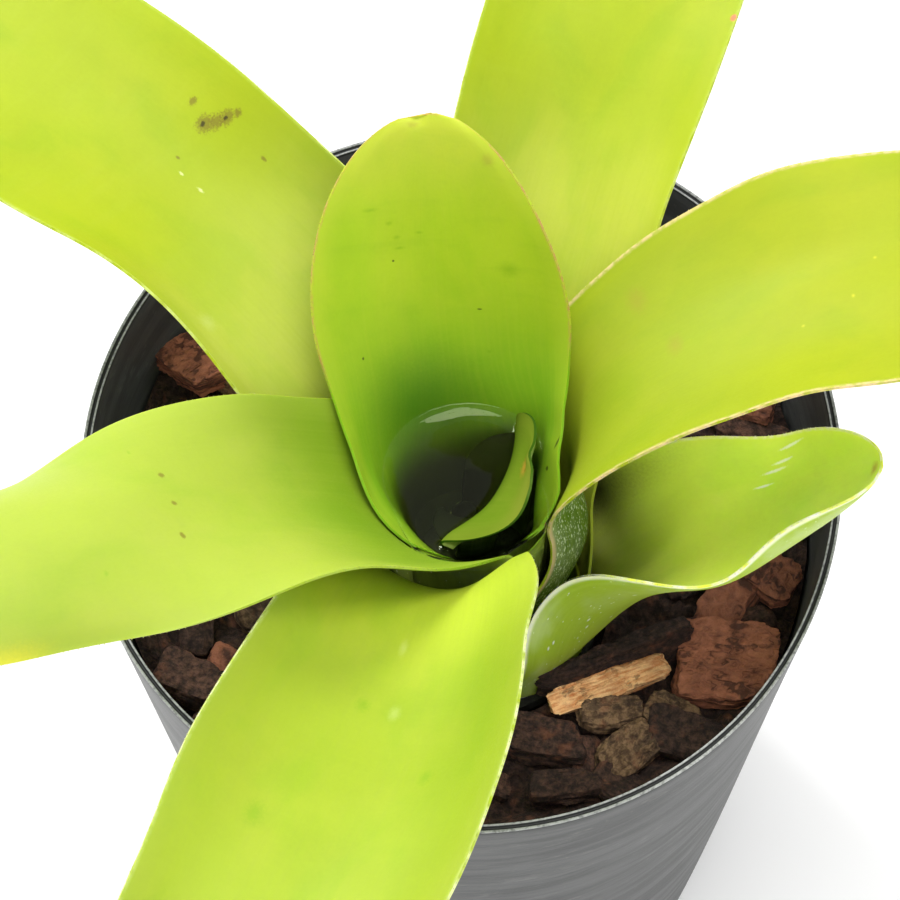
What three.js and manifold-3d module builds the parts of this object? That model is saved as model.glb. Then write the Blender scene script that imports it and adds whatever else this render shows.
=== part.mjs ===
// A potted neoregelia bromeliad: a water-holding rosette of strap leaves in a black nursery pot of bark.
// Millimetres, +Z up. The origin is the middle of the pot's underside, -Y is the front.

import * as THREE from 'three';
import { mergeVertices } from 'three/addons/utils/BufferGeometryUtils.js';
import Module from 'manifold-3d';

const wasm = await Module();
wasm.setup();

const DEG = Math.PI / 180;

// ---------------------------------------------------------------- driving dimensions

const GAP = 0.3;                 // clearance between pieces that touch

const POT_HEIGHT = 124;
const POT_RIM_RADIUS = 63.5;     // nominal 127 mm (5 inch) nursery pot
const POT_TAPER = 7 * DEG;       // lean of the wall from upright
const POT_WALL = 1.4;
const POT_FLOOR = 2;
const POT_SIDES = 60;
const RIM_OVAL = -0.043;         // the soft rim is squeezed slightly along X
const RIM_SKEW = 0.006;
const RIM_EGG = -0.006;
const DRAIN_HOLES = 6;
const DRAIN_RADIUS = 4;
const DRAIN_CIRCLE = 33;

const BARK_TOP = 105;            // mean height of the bark above the pot's underside
const BARK_RELIEF = 1.8;
const BARK_EDGE_RISE = 2;        // the bark banks up against the wall

const PLANT = new THREE.Vector3(1, -16, 104);   // top of the stem, on the axis of the rosette
const STEM_RADIUS = 21;
const STEM_FOOT_RADIUS = 8;
const STEM_HEIGHT = 22;
const STEM_HOLE_RADIUS = 22.5;
const STEM_HOLE_FLOOR = PLANT.z - STEM_HEIGHT - GAP;   // the stem stands on the bark below it
const ROOTS = 6;
const ROOT_RADIUS = 1.3;

const LEAF_THICKNESS = 0.8;
const TUBE_RADIUS = 12.7;        // middle of the innermost sheath's wall at the water line
const SHEATH_PITCH = 1.5;        // from one nested sheath to the next
const TUBE_LEAN = 3 * DEG;       // the tube of sheaths opens upwards
const WATER_LINE = 38;           // above the stem

// ---------------------------------------------------------------- finishes

const finish = (color, roughness) => new THREE.MeshStandardMaterial({ color, roughness, metalness: 0 });
const POT_PLASTIC = finish(0x2b2d2b, 0.55);
const BARK_DARK = finish(0x4b3226, 0.95);
const BARK_RED = finish(0x6e4130, 0.95);
const BARK_TAN = finish(0xbe824b, 0.9);
const STEM_BROWN = finish(0x6b5a34, 0.85);
const LEAF_LIME = finish(0xc3e132, 0.45);
const LEAF_GREEN = finish(0x8fc22a, 0.45);
const WATER = finish(0x3c4630, 0.05);

// ---------------------------------------------------------------- small tools

// Repeatable numbers between 0 and 1 for what grows or falls at random.
function randomStream(seed) {
  let state = seed >>> 0;
  return () => {
    state = (state * 1664525 + 1013904223) >>> 0;
    return state / 4294967296;
  };
}

const smoothstep = (x) => THREE.MathUtils.smoothstep(x, 0, 1);

// Smooth curve through values given at stations, as a cubic between each two.
function curveThrough(stations, values, x) {
  const last = stations.length - 1;
  const slope = (i) => {
    const a = Math.max(i - 1, 0);
    const b = Math.min(i + 1, last);
    return (values[b] - values[a]) / (stations[b] - stations[a]);
  };
  let i = 0;
  while (i < last - 1 && x >= stations[i + 1]) i += 1;
  const h = stations[i + 1] - stations[i];
  const t = (x - stations[i]) / h;
  const s = 1 - t;
  return (1 + 2 * t) * s * s * values[i] + t * s * s * h * slope(i)
    + t * t * (3 - 2 * t) * values[i + 1] - t * t * s * h * slope(i + 1);
}

function geometryOf(points, faces) {
  const geometry = new THREE.BufferGeometry();
  geometry.setAttribute('position', new THREE.Float32BufferAttribute(points.flat(), 3));
  geometry.setIndex(faces.flat());
  geometry.computeVertexNormals();
  return geometry;
}

function toManifold(geometry) {
  const bare = geometry.clone();
  bare.deleteAttribute('normal');
  bare.deleteAttribute('uv');
  const merged = mergeVertices(bare, 1e-4);
  return new wasm.Manifold(new wasm.Mesh({
    numProp: 3,
    vertProperties: new Float32Array(merged.getAttribute('position').array),
    triVerts: new Uint32Array(merged.getIndex().array),
  }));
}

function fromManifold(solid) {
  const mesh = solid.getMesh();
  const geometry = new THREE.BufferGeometry();
  geometry.setAttribute('position', new THREE.BufferAttribute(new Float32Array(mesh.vertProperties), 3));
  geometry.setIndex(new THREE.BufferAttribute(new Uint32Array(mesh.triVerts), 1));
  geometry.computeVertexNormals();
  return geometry;
}

function meshOf(name, geometry, material) {
  const mesh = new THREE.Mesh(geometry, material);
  mesh.name = name;
  return mesh;
}

// Stacked rings of equal count, closed by a point above and a point below.
function ringStack(rings, below, above) {
  const sides = rings[0].length;
  const points = [below, ...rings.flat(), above];
  const faces = [];
  const top = points.length - 1;
  const at = (row, side) => 1 + row * sides + (side % sides);
  for (let side = 0; side < sides; side += 1) {
    faces.push([0, at(0, side + 1), at(0, side)]);
    faces.push([top, at(rings.length - 1, side), at(rings.length - 1, side + 1)]);
    for (let row = 0; row < rings.length - 1; row += 1) {
      faces.push([at(row, side), at(row, side + 1), at(row + 1, side + 1)]);
      faces.push([at(row, side), at(row + 1, side + 1), at(row + 1, side)]);
    }
  }
  return geometryOf(points, faces);
}

// ---------------------------------------------------------------- pot

const wallRadius = (z) => POT_RIM_RADIUS - (POT_HEIGHT - z) * Math.tan(POT_TAPER);

// The pot is round at its foot and slightly oval at its rim.
function squeeze(angle, z) {
  const share = smoothstep(z / POT_HEIGHT);
  return 1 + share * (RIM_OVAL * Math.cos(2 * angle) + RIM_SKEW * Math.sin(2 * angle)
    + RIM_EGG * Math.cos(3 * angle));
}

function squeezeGeometry(geometry) {
  const position = geometry.getAttribute('position');
  for (let i = 0; i < position.count; i += 1) {
    const x = position.getX(i);
    const y = position.getY(i);
    const z = position.getZ(i);
    const k = squeeze(Math.atan2(y, x), z);
    position.setXYZ(i, x * k, y * k, z);
  }
  return geometry;
}

// A lathe turned about +Z from [radius, height] pairs that start and end on the axis.
function turned(profile, sides) {
  const points = profile.map(([radius, height]) => new THREE.Vector2(radius, height));
  const geometry = new THREE.LatheGeometry(points, sides);
  geometry.rotateX(Math.PI / 2);
  return geometry;
}

function makePot() {
  const foot = wallRadius(0);
  const chamfer = 0.8;
  const body = turned([
    [0, 0],
    [foot - chamfer, 0],
    [wallRadius(chamfer), chamfer],
    [wallRadius(POT_HEIGHT * 0.5), POT_HEIGHT * 0.5],
    [wallRadius(POT_HEIGHT * 0.8), POT_HEIGHT * 0.8],
    [wallRadius(POT_HEIGHT - 0.3), POT_HEIGHT - 0.3],
    [POT_RIM_RADIUS - 0.3, POT_HEIGHT],
    [POT_RIM_RADIUS - POT_WALL, POT_HEIGHT],
    [wallRadius(POT_HEIGHT * 0.8) - POT_WALL, POT_HEIGHT * 0.8],
    [wallRadius(POT_HEIGHT * 0.5) - POT_WALL, POT_HEIGHT * 0.5],
    [wallRadius(POT_FLOOR) - POT_WALL, POT_FLOOR],
    [0, POT_FLOOR],
  ], POT_SIDES);
  squeezeGeometry(body);
  let solid = toManifold(body);
  for (let i = 0; i < DRAIN_HOLES; i += 1) {
    const angle = (i + 0.5) * (2 * Math.PI / DRAIN_HOLES);
    const drill = new THREE.CylinderGeometry(DRAIN_RADIUS, DRAIN_RADIUS, POT_FLOOR * 4, 16);
    drill.rotateX(Math.PI / 2);
    drill.translate(DRAIN_CIRCLE * Math.cos(angle), DRAIN_CIRCLE * Math.sin(angle), 0);
    solid = solid.subtract(toManifold(drill));
  }
  return meshOf('pot', fromManifold(solid), POT_PLASTIC);
}

// ---------------------------------------------------------------- bark

// An angular flake of bark with a broken outline: a low prism, narrower at its top.
function flake({ x, y, z, turn, length, width, height, tilt, seed, sides = 7, plain = false }, grow = 0) {
  const random = randomStream(seed);
  const rim = Array.from({ length: sides }, (_, i) => {
    const angle = (i + 0.6 * random()) * (2 * Math.PI / sides);
    const reach = 0.84 + 0.3 * random();
    return [Math.cos(angle) * reach, Math.sin(angle) * reach, random()];
  });
  const level = (share, base, ragged) => rim.map(([c, s, r]) => [
    c * (length / 2 * share + grow),
    s * (width / 2 * share + grow),
    base + ragged * (r - 0.5) * height,
  ]);
  const half = height / 2 + grow;
  const levels = plain
    ? [level(1, -half, 0), level(0.82, half, 0)]
    : [level(0.86, -half, 0), level(1, 0.15 * height, 0.2), level(0.8, half, 0)];
  const geometry = ringStack(levels, [0, 0, -half], [0, 0, half]);
  geometry.rotateX(tilt[0] * DEG);
  geometry.rotateY(tilt[1] * DEG);
  geometry.rotateZ(turn * DEG);
  geometry.translate(x, y, z);
  return geometry;
}

// The large flakes that lie loose on top. Places are those of each flake's middle.
const LOOSE_FLAKES = [
  { name: 'bark_brick', x: 41.4, y: -30.3, z: 107.6, turn: -12, length: 15.5, width: 14, height: 5,
    tilt: [6, -5], seed: 11, finish: BARK_RED },
  { name: 'bark_sliver', x: 22.6, y: -33.4, z: 108.4, turn: 22, length: 20.5, width: 3.8, height: 2.6,
    tilt: [10, 0], seed: 23, finish: BARK_TAN },
  { name: 'bark_strip', x: 27.2, y: -27, z: 107.6, turn: 24, length: 21, width: 5.2, height: 4,
    tilt: [12, 0], seed: 37, finish: BARK_DARK },
  { name: 'bark_flake_1', x: 22.8, y: -38.6, z: 107.4, turn: 8, length: 9.4, width: 4.6, height: 3.4,
    tilt: [8, 4], seed: 41, finish: BARK_RED },
  { name: 'bark_flake_2', x: 32.6, y: -38.9, z: 106.8, turn: -20, length: 8.2, width: 5, height: 3.6,
    tilt: [-6, 8], seed: 53, finish: BARK_DARK },
  { name: 'bark_flake_3', x: 25.2, y: -44.8, z: 106.8, turn: 35, length: 9.2, width: 6.2, height: 3.8,
    tilt: [10, -8], seed: 67, finish: BARK_RED },
  { name: 'bark_flake_4', x: 12.6, y: -43, z: 106.8, turn: -10, length: 12, width: 6.4, height: 4,
    tilt: [5, 6], seed: 71, finish: BARK_DARK },
  { name: 'bark_flake_5', x: 15.4, y: -51.2, z: 107.2, turn: 5, length: 10.5, width: 4.6, height: 3.4,
    tilt: [-4, 5], seed: 83, finish: BARK_DARK },
  { name: 'bark_flake_6', x: 49.6, y: -14.6, z: 107.6, turn: 60, length: 8.6, width: 7.4, height: 4.4,
    tilt: [8, 10], seed: 97, finish: BARK_RED },
  { name: 'bark_flake_7', x: -44, y: 28.5, z: 108, turn: 40, length: 13.5, width: 11, height: 5,
    tilt: [-8, 10], seed: 101, finish: BARK_RED },
  { name: 'bark_flake_8', x: 45.6, y: 19.5, z: 107.6, turn: -15, length: 14, width: 7, height: 4.4,
    tilt: [8, 6], seed: 113, finish: BARK_RED },
];

function barkHeight(x, y) {
  const angle = Math.atan2(y, x);
  const inner = (wallRadius(BARK_TOP) - POT_WALL) * squeeze(angle, BARK_TOP);
  const edge = smoothstep((Math.hypot(x, y) / inner - 0.75) * 4);
  const lumps = Math.sin(x * 0.42 + 1.3) * Math.cos(y * 0.37 - 0.4) + 0.6 * Math.sin(x * 0.19 - y * 0.31);
  return BARK_TOP + BARK_EDGE_RISE * edge + BARK_RELIEF * 0.5 * lumps;
}

function makeBarkBed() {
  const sides = 40;
  const fill = (z, angle) => (wallRadius(z) - POT_WALL) * squeeze(angle, z) * 0.9985 - GAP;
  const ring = (heightAt, share) => Array.from({ length: sides }, (_, i) => {
    const angle = i * (2 * Math.PI / sides);
    const nominal = fill(BARK_TOP, angle) * share;
    const z = heightAt(nominal * Math.cos(angle), nominal * Math.sin(angle));
    const radius = fill(z, angle) * share;
    return [radius * Math.cos(angle), radius * Math.sin(angle), z];
  });
  const floor = POT_FLOOR + GAP;
  const shares = [1, 0.88, 0.74, 0.6, 0.45];
  const geometry = ringStack(
    [ring(() => floor, 1), ring(() => BARK_TOP * 0.55, 1), ...shares.map((share) => ring(barkHeight, share))],
    [0, 0, floor],
    [0, 0, barkHeight(0, 0)],
  );
  let solid = toManifold(geometry);

  // Smaller flakes grow out of the bed all over, sunk to about half their height.
  const random = randomStream(8623);
  const rings = [
    { count: 20, reach: 55.5 }, { count: 15, reach: 46 }, { count: 11, reach: 37 }, { count: 5, reach: 29 },
  ];
  rings.forEach(({ count, reach }, row) => {
    for (let i = 0; i < count; i += 1) {
      const angle = (i + 0.5 * row + 0.4 * random()) * (2 * Math.PI / count);
      const length = 10 + 7 * random();
      const radius = Math.min(reach, 57.4 - length * 0.42) + 1.5 * random();
      const x = radius * Math.cos(angle) * (1 + RIM_OVAL);
      const y = radius * Math.sin(angle);
      const small = flake({
        x, y, z: barkHeight(x, y) + 0.4 * random(), turn: angle / DEG + 90 + 50 * (random() - 0.5),
        length, width: 6 + 4 * random(), height: 5 + 2 * random(),
        tilt: [16 * (random() - 0.5), 14 * (random() - 0.5)], seed: 1000 + row * 100 + i, sides: 5, plain: true,
      });
      solid = solid.add(toManifold(small));
    }
  });

  const hole = new THREE.CylinderGeometry(STEM_HOLE_RADIUS, STEM_HOLE_RADIUS, 60, 40);
  hole.rotateX(Math.PI / 2);
  hole.translate(PLANT.x, PLANT.y, STEM_HOLE_FLOOR + 30);
  solid = solid.subtract(toManifold(hole));
  for (const spec of LOOSE_FLAKES) {
    solid = solid.subtract(toManifold(flake(spec, GAP + 0.1)));
  }
  const [largest] = solid.decompose().sort((a, b) => b.volume() - a.volume());
  return meshOf('bark_bed', fromManifold(largest), BARK_DARK);
}

// ---------------------------------------------------------------- stem

// A short stout stem with stubby roots, hidden in the bark. The sheaths stand on its flat top.
function makeStem() {
  const body = turned([
    [0, -STEM_HEIGHT],
    [STEM_FOOT_RADIUS, -STEM_HEIGHT],
    [STEM_FOOT_RADIUS + 3, -STEM_HEIGHT * 0.6],
    [STEM_RADIUS * 0.8, -6],
    [STEM_RADIUS, -2.5],
    [STEM_RADIUS, -GAP],
    [0, -GAP],
  ], 32);
  let solid = toManifold(body);
  const random = randomStream(77);
  for (let i = 0; i < ROOTS; i += 1) {
    const angle = (i + 0.5 * random()) * (2 * Math.PI / ROOTS);
    const out = new THREE.Vector3(Math.cos(angle), Math.sin(angle), 0);
    const path = new THREE.CatmullRomCurve3([
      out.clone().multiplyScalar(5).setZ(-STEM_HEIGHT * 0.5),
      out.clone().multiplyScalar(12).setZ(-STEM_HEIGHT * 0.66),
      out.clone().multiplyScalar(17).setZ(-STEM_HEIGHT + ROOT_RADIUS + 2 * random()),
    ]);
    const section = new THREE.Shape();
    section.absarc(0, 0, ROOT_RADIUS, 0, 2 * Math.PI);
    const root = new THREE.ExtrudeGeometry(section, { steps: 4, curveSegments: 3, extrudePath: path });
    solid = solid.add(toManifold(root));
  }
  return meshOf('stem', fromManifold(solid), STEM_BROWN);
}

// ---------------------------------------------------------------- leaves

// Each leaf is a thin blade that starts as a sheath wrapped round the tube, then flares and unrolls.
//   azimuth   direction of the midrib, degrees from +X
//   layer     place in the nest of sheaths, 0 is the innermost grown leaf
//   flare     height above the stem at which the blade leaves the tube
//   reach     length of the blade along its midrib from there
//   climb     slope of the midrib in degrees, at CLIMB_AT
//   swing     turn of the midrib to the side, degrees, in proportion to the way along it and its square
//   twist     turn of the blade about its midrib, in the same way
//   half      half the blade's width in mm, at HALF_AT
//   cupping   curvature of the cross-section per mm, at CUP_AT
//   unroll    share of the blade over which the tube's curvature turns into the cupping
//   wrap      half angle that the sheath takes round the tube at its foot, radians
//   rounding  share of the blade at which its tip starts to narrow, and how bluntly
const CLIMB_AT = [0, 0.1, 0.25, 0.5, 0.75, 1];
const HALF_AT = [0, 0.2, 0.45, 0.75, 1];
const CUP_AT = [0, 0.3, 0.65, 1];

const GROWN_GRID = { sheathRows: 4, bladeRows: 14, columns: 14 };
const YOUNG_GRID = { sheathRows: 3, bladeRows: 7, columns: 10 };
const TIP_CROWDING = 1.3;        // rows of the grid stand closer together towards the tip

const LEAVES = [
  { name: 'leaf_bud', azimuth: 155, layer: -5.8, flare: 14, reach: 8, climb: [87, 87, 87, 87, 87],
    swing: [0, 0], twist: [0, 0], half: [6, 6, 5.5, 5, 4], cupping: [0.38, 0.38, 0.38],
    unroll: 1, wrap: 1.4, rounding: [0.3, 2.4], grid: YOUNG_GRID, finish: LEAF_GREEN },
  { name: 'leaf_heart', azimuth: -24.7, layer: -5, flare: 30.2, reach: 17.3, climb: [90, 86, 81, 34, 60],
    swing: [-22, 0], twist: [3.5, 40], half: [10.5, 11.8, 11, 12.7, 11], cupping: [0.01, 0.047, 0.022],
    unroll: 0.44, wrap: 1.5, rounding: [0.47, 1.6], grid: YOUNG_GRID, finish: LEAF_GREEN },
  { name: 'leaf_centre', azimuth: 102.4, layer: 0, flare: 32.2, reach: 56, climb: [74.3, 63.8, 68, 67, 55],
    swing: [4, -21], twist: [-18, 5.8], half: [33, 22, 20.5, 18.5, 16.5], cupping: [0.022, 0.026, 0.028],
    unroll: 0.91, wrap: 2.4, rounding: [0.45, 2.4], grid: GROWN_GRID, finish: LEAF_GREEN },
  { name: 'leaf_left', azimuth: 213.5, layer: 1, flare: 31, reach: 109.4, climb: [57, 42.5, 34, 5, -15],
    swing: [-16.3, 1.8], twist: [11.3, 11.8], half: [21, 19.5, 19, 17.5, 17.5], cupping: [0.053, -0.047, -0.011],
    unroll: 0.58, wrap: 2.1, rounding: [0.72, 2.4], grid: GROWN_GRID, finish: LEAF_LIME },
  { name: 'leaf_right', azimuth: 16.3, layer: 2, flare: 32.6, reach: 120, climb: [70.3, 37.7, 19, 8, -2],
    swing: [-20.4, -7.5], twist: [-10.8, 8], half: [12.6, 16.4, 21, 19, 15], cupping: [0.043, 0.007, 0.016],
    unroll: 0.59, wrap: 2, rounding: [0.72, 2.4], grid: GROWN_GRID, finish: LEAF_LIME },
  { name: 'leaf_back_left', azimuth: 139, layer: 3, flare: 24.5, reach: 125, climb: [59, 32, 14, 7, 0],
    swing: [4, 1], twist: [-4, -3], half: [20, 21.5, 21.5, 20.5, 17], cupping: [0.062, 0.02, 0.012],
    unroll: 0.5, wrap: 1.9, rounding: [0.72, 2.4], grid: GROWN_GRID, finish: LEAF_LIME },
  { name: 'leaf_front', azimuth: 257.7, layer: 4, flare: 27, reach: 125, climb: [65.8, 22.8, 21.4, 2, -9],
    swing: [-7.5, -9.6], twist: [7.6, 1.5], half: [9.4, 19, 23.3, 20.5, 20], cupping: [0.053, 0.033, 0.044],
    unroll: 0.34, wrap: 1.95, rounding: [0.72, 2.4], grid: GROWN_GRID, finish: LEAF_LIME },
  { name: 'leaf_back', azimuth: 71, layer: 5, flare: 23, reach: 120, climb: [61, 40, 26, 17, 8],
    swing: [-1, 0], twist: [-2, 0], half: [20, 20, 20, 19, 16], cupping: [0.05, 0.018, 0.013],
    unroll: 0.38, wrap: 1.8, rounding: [0.72, 2.4], grid: GROWN_GRID, finish: LEAF_LIME },
  { name: 'leaf_low_right', azimuth: -13, layer: 6, flare: 1, reach: 68, climb: [62, 60, 40, 47, 66],
    swing: [3, 14], twist: [-20, -6], half: [20, 23.5, 19.5, 15.5, 12], cupping: [0.091, 0.05, 0.108],
    unroll: 0.42, wrap: 0.83, rounding: [0.72, 2.4], grid: GROWN_GRID, finish: LEAF_LIME },
];

// The grid of points on the middle of a leaf, row by row from its foot to its tip.
function leafGrid(leaf) {
  const { azimuth, layer, flare, reach, swing, twist, unroll, wrap } = leaf;
  const { sheathRows, bladeRows, columns } = leaf.grid;
  const radiusAtWater = TUBE_RADIUS + SHEATH_PITCH * layer;
  const footRadius = radiusAtWater - WATER_LINE * Math.tan(TUBE_LEAN);
  const climb = [90 - TUBE_LEAN / DEG, ...leaf.climb];
  const cupping = [leaf.cupping[0], ...leaf.cupping];
  const heading = azimuth * DEG;
  const middle = new THREE.Vector3(Math.cos(heading) * footRadius, Math.sin(heading) * footRadius, 0);
  const previous = new THREE.Vector3();
  const steps = 12;                       // short steps of the midrib between two rows
  const rows = [];
  let length = 0;
  for (let row = 0; row <= sheathRows + bladeRows; row += 1) {
    const left = (sheathRows + bladeRows - row) / bladeRows;
    const goal = row <= sheathRows
      ? flare * row / sheathRows
      : flare + reach * (1 - left ** TIP_CROWDING);
    let t = 0;
    let slope = 0;
    let turn = 0;
    const along = new THREE.Vector3();
    const start = length;
    for (let step = row === 0 ? steps : 0; step <= steps; step += 1) {
      length = start + (goal - start) * step / steps;
      t = Math.max(0, (length - flare) / reach);
      slope = curveThrough(CLIMB_AT, climb, t) * DEG;
      turn = heading + (swing[0] * t + swing[1] * t * t) * DEG;
      along.set(Math.cos(slope) * Math.cos(turn), Math.cos(slope) * Math.sin(turn), Math.sin(slope));
      if (step > 0 && row > 0) {
        middle.addScaledVector(previous.clone().add(along), (goal - start) / steps / 2);
      }
      previous.copy(along);
    }
    const side = new THREE.Vector3(-Math.sin(turn), Math.cos(turn), 0);
    const inward = new THREE.Vector3(
      -Math.sin(slope) * Math.cos(turn), -Math.sin(slope) * Math.sin(turn), Math.cos(slope));
    const roll = (twist[0] * t + twist[1] * t * t) * DEG;
    const across = side.clone().multiplyScalar(Math.cos(roll)).addScaledVector(inward, Math.sin(roll));
    const lift = inward.clone().multiplyScalar(Math.cos(roll)).addScaledVector(side, -Math.sin(roll));

    const unrolled = smoothstep((length - flare) / (unroll * reach));
    const tubeCurvature = Math.sin(slope) / Math.hypot(middle.x, middle.y);
    const curvature = (1 - unrolled) * tubeCurvature + unrolled * curveThrough(CUP_AT, cupping, t);
    const opened = smoothstep(length / flare);
    const [tipStart, bluntness] = leaf.rounding;
    const tip = Math.max(0, (t - tipStart) / (1 - tipStart));
    const halfWidth = Math.max(0.4, Math.sqrt(Math.max(0, 1 - tip ** bluntness))
      * ((1 - opened) * wrap * radiusAtWater + opened * curveThrough(HALF_AT, leaf.half, t)));
    rows.push(Array.from({ length: columns + 1 }, (_, column) => {
      const offset = halfWidth * (2 * column / columns - 1);
      const angle = offset * curvature;
      const flat = Math.abs(curvature) < 1e-5;
      return middle.clone()
        .addScaledVector(across, flat ? offset : Math.sin(angle) / curvature)
        .addScaledVector(lift, flat ? 0 : (1 - Math.cos(angle)) / curvature);
    }));
  }
  return rows;
}

// A thin closed slab round a grid of points. Each cell is split across its shorter diagonal, alike on
// both faces.
function slab(rows, thickness) {
  const rowCount = rows.length;
  const columnCount = rows[0].length;
  const clampRow = (i) => THREE.MathUtils.clamp(i, 0, rowCount - 1);
  const clampColumn = (j) => THREE.MathUtils.clamp(j, 0, columnCount - 1);
  const upper = [];
  const lower = [];
  rows.forEach((points, i) => points.forEach((point, j) => {
    const along = rows[clampRow(i + 1)][j].clone().sub(rows[clampRow(i - 1)][j]);
    const across = rows[i][clampColumn(j + 1)].clone().sub(rows[i][clampColumn(j - 1)]);
    const normal = along.cross(across).normalize();
    upper.push(point.clone().addScaledVector(normal, thickness / 2).toArray());
    lower.push(point.clone().addScaledVector(normal, -thickness / 2).toArray());
  }));
  const size = upper.length;
  const at = (i, j) => i * columnCount + j;
  const faces = [];
  for (let i = 0; i < rowCount - 1; i += 1) {
    for (let j = 0; j < columnCount - 1; j += 1) {
      const [a, b, c, d] = [at(i, j), at(i + 1, j), at(i + 1, j + 1), at(i, j + 1)];
      const [p, q, r, s] = [rows[i][j], rows[i + 1][j], rows[i + 1][j + 1], rows[i][j + 1]];
      const halves = p.distanceTo(r) <= q.distanceTo(s) ? [[a, b, c], [a, c, d]] : [[a, b, d], [b, c, d]];
      for (const [k, l, m] of halves) faces.push([k, l, m], [size + k, size + m, size + l]);
    }
  }
  const border = [];
  for (let i = 0; i < rowCount - 1; i += 1) border.push(at(i, 0));
  for (let j = 0; j < columnCount - 1; j += 1) border.push(at(rowCount - 1, j));
  for (let i = rowCount - 1; i > 0; i -= 1) border.push(at(i, columnCount - 1));
  for (let j = columnCount - 1; j > 0; j -= 1) border.push(at(0, j));
  border.forEach((from, k) => {
    const to = border[(k + 1) % border.length];
    faces.push([to, from, size + from], [to, size + from, size + to]);
  });
  return geometryOf([...upper, ...lower], faces);
}

// ---------------------------------------------------------------- water

const WATER_FLOOR = 8;           // above the stem
const FACET_SAG = 0.3;           // a sheath's flat faces lie up to this far inside its round wall

// Rain water held in the tube, clear of the young leaves that stand in it.
function makeWater(youngLeaves) {
  const wallAtWater = TUBE_RADIUS - LEAF_THICKNESS / 2 - FACET_SAG - GAP;
  const radiusAt = (z) => wallAtWater - (WATER_LINE - z) * Math.tan(TUBE_LEAN);
  const body = turned([
    [0, WATER_FLOOR],
    [radiusAt(WATER_FLOOR), WATER_FLOOR],
    [radiusAt(WATER_LINE), WATER_LINE],
    [0, WATER_LINE],
  ], 32);
  let solid = toManifold(body);
  for (const leaf of youngLeaves) {
    const half = leaf.half.map((value) => value + GAP);
    const grown = leafGrid({ ...leaf, half, reach: leaf.reach + GAP });
    solid = solid.subtract(toManifold(slab(grown, LEAF_THICKNESS + 2 * GAP)));
  }
  const [largest] = solid.decompose().sort((a, b) => b.volume() - a.volume());
  return meshOf('tank_water', fromManifold(largest), WATER);
}

// ---------------------------------------------------------------- assembly

const plant = new THREE.Group();
plant.position.copy(PLANT);
plant.add(makeStem());
for (const leaf of LEAVES) {
  plant.add(meshOf(leaf.name, slab(leafGrid(leaf), LEAF_THICKNESS), leaf.finish));
}

plant.add(makeWater(LEAVES.filter((leaf) => leaf.layer < 0)));

const part = new THREE.Group();
part.add(makePot(), makeBarkBed(), plant);
for (const spec of LOOSE_FLAKES) part.add(meshOf(spec.name, flake(spec), spec.finish));

export default part;
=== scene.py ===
"""A potted neoregelia: a rosette of strap leaves that holds water, in bark in a black nursery pot.

The classes hold lengths in millimetres, as a gardener would measure them, and MM turns them into metres when
a mesh is placed. +Z is up, -Y is the front, and the origin is the middle of the pot's underside.
"""

import logging
import math
import random
from collections.abc import Sequence
from dataclasses import dataclass, field
from enum import Enum
from typing import ClassVar

import bpy
import numpy as np
from mathutils import Matrix, Vector, noise
from mathutils.bvhtree import BVHTree


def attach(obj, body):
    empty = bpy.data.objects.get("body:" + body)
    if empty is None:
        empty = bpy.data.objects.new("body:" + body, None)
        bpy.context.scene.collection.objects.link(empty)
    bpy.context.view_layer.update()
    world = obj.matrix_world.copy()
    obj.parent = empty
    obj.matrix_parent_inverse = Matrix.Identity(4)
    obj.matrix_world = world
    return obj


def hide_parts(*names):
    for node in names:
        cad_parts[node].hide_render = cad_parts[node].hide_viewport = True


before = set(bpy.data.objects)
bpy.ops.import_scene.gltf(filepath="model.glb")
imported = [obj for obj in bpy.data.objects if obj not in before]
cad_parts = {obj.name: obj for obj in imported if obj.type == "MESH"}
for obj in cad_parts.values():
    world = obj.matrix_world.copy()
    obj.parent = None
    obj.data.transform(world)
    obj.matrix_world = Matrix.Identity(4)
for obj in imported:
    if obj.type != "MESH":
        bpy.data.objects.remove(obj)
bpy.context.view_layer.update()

log = logging.getLogger("neoregelia")

MM = 0.001
BODY = "root"

PLANT = np.array([1.0, -16.0, 104.0])      # top of the stem, on the axis of the rosette
WATER_LINE = 38.0                          # above the top of the stem
TUBE_RADIUS = 12.7                         # middle of the innermost sheath at the water line
SHEATH_PITCH = 1.5
TUBE_LEAN = math.radians(3)
LEAF_THICKNESS = 0.8
WELD_GAP = 0.00002                         # points closer than this, in metres, are one

Colour = tuple[float, float, float, float]
Pair = tuple[Colour, Colour]
Point = tuple[float, float, float]
Value = bpy.types.NodeSocket | float | tuple
Surface = tuple[np.ndarray, np.ndarray, np.ndarray, np.ndarray]


def srgb(red: int, green: int, blue: int) -> Colour:
    """Turn a colour as seen on a screen into the linear one that shaders read.

    Args:
        red: Red from 0 to 255.
        green: Green from 0 to 255.
        blue: Blue from 0 to 255.

    Returns:
        The linear colour, opaque.
    """
    def linear(value: int) -> float:
        """Return one channel without its gamma."""
        share = value / 255
        return share / 12.92 if share <= 0.04045 else ((share + 0.055) / 1.055) ** 2.4

    return linear(red), linear(green), linear(blue), 1.0


# ---- meshes


def smoothstep(x: np.ndarray | float) -> np.ndarray | float:
    """Return the smooth step from 0 to 1 over x from 0 to 1."""
    x = np.clip(x, 0, 1)
    return x * x * (3 - 2 * x)


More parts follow.
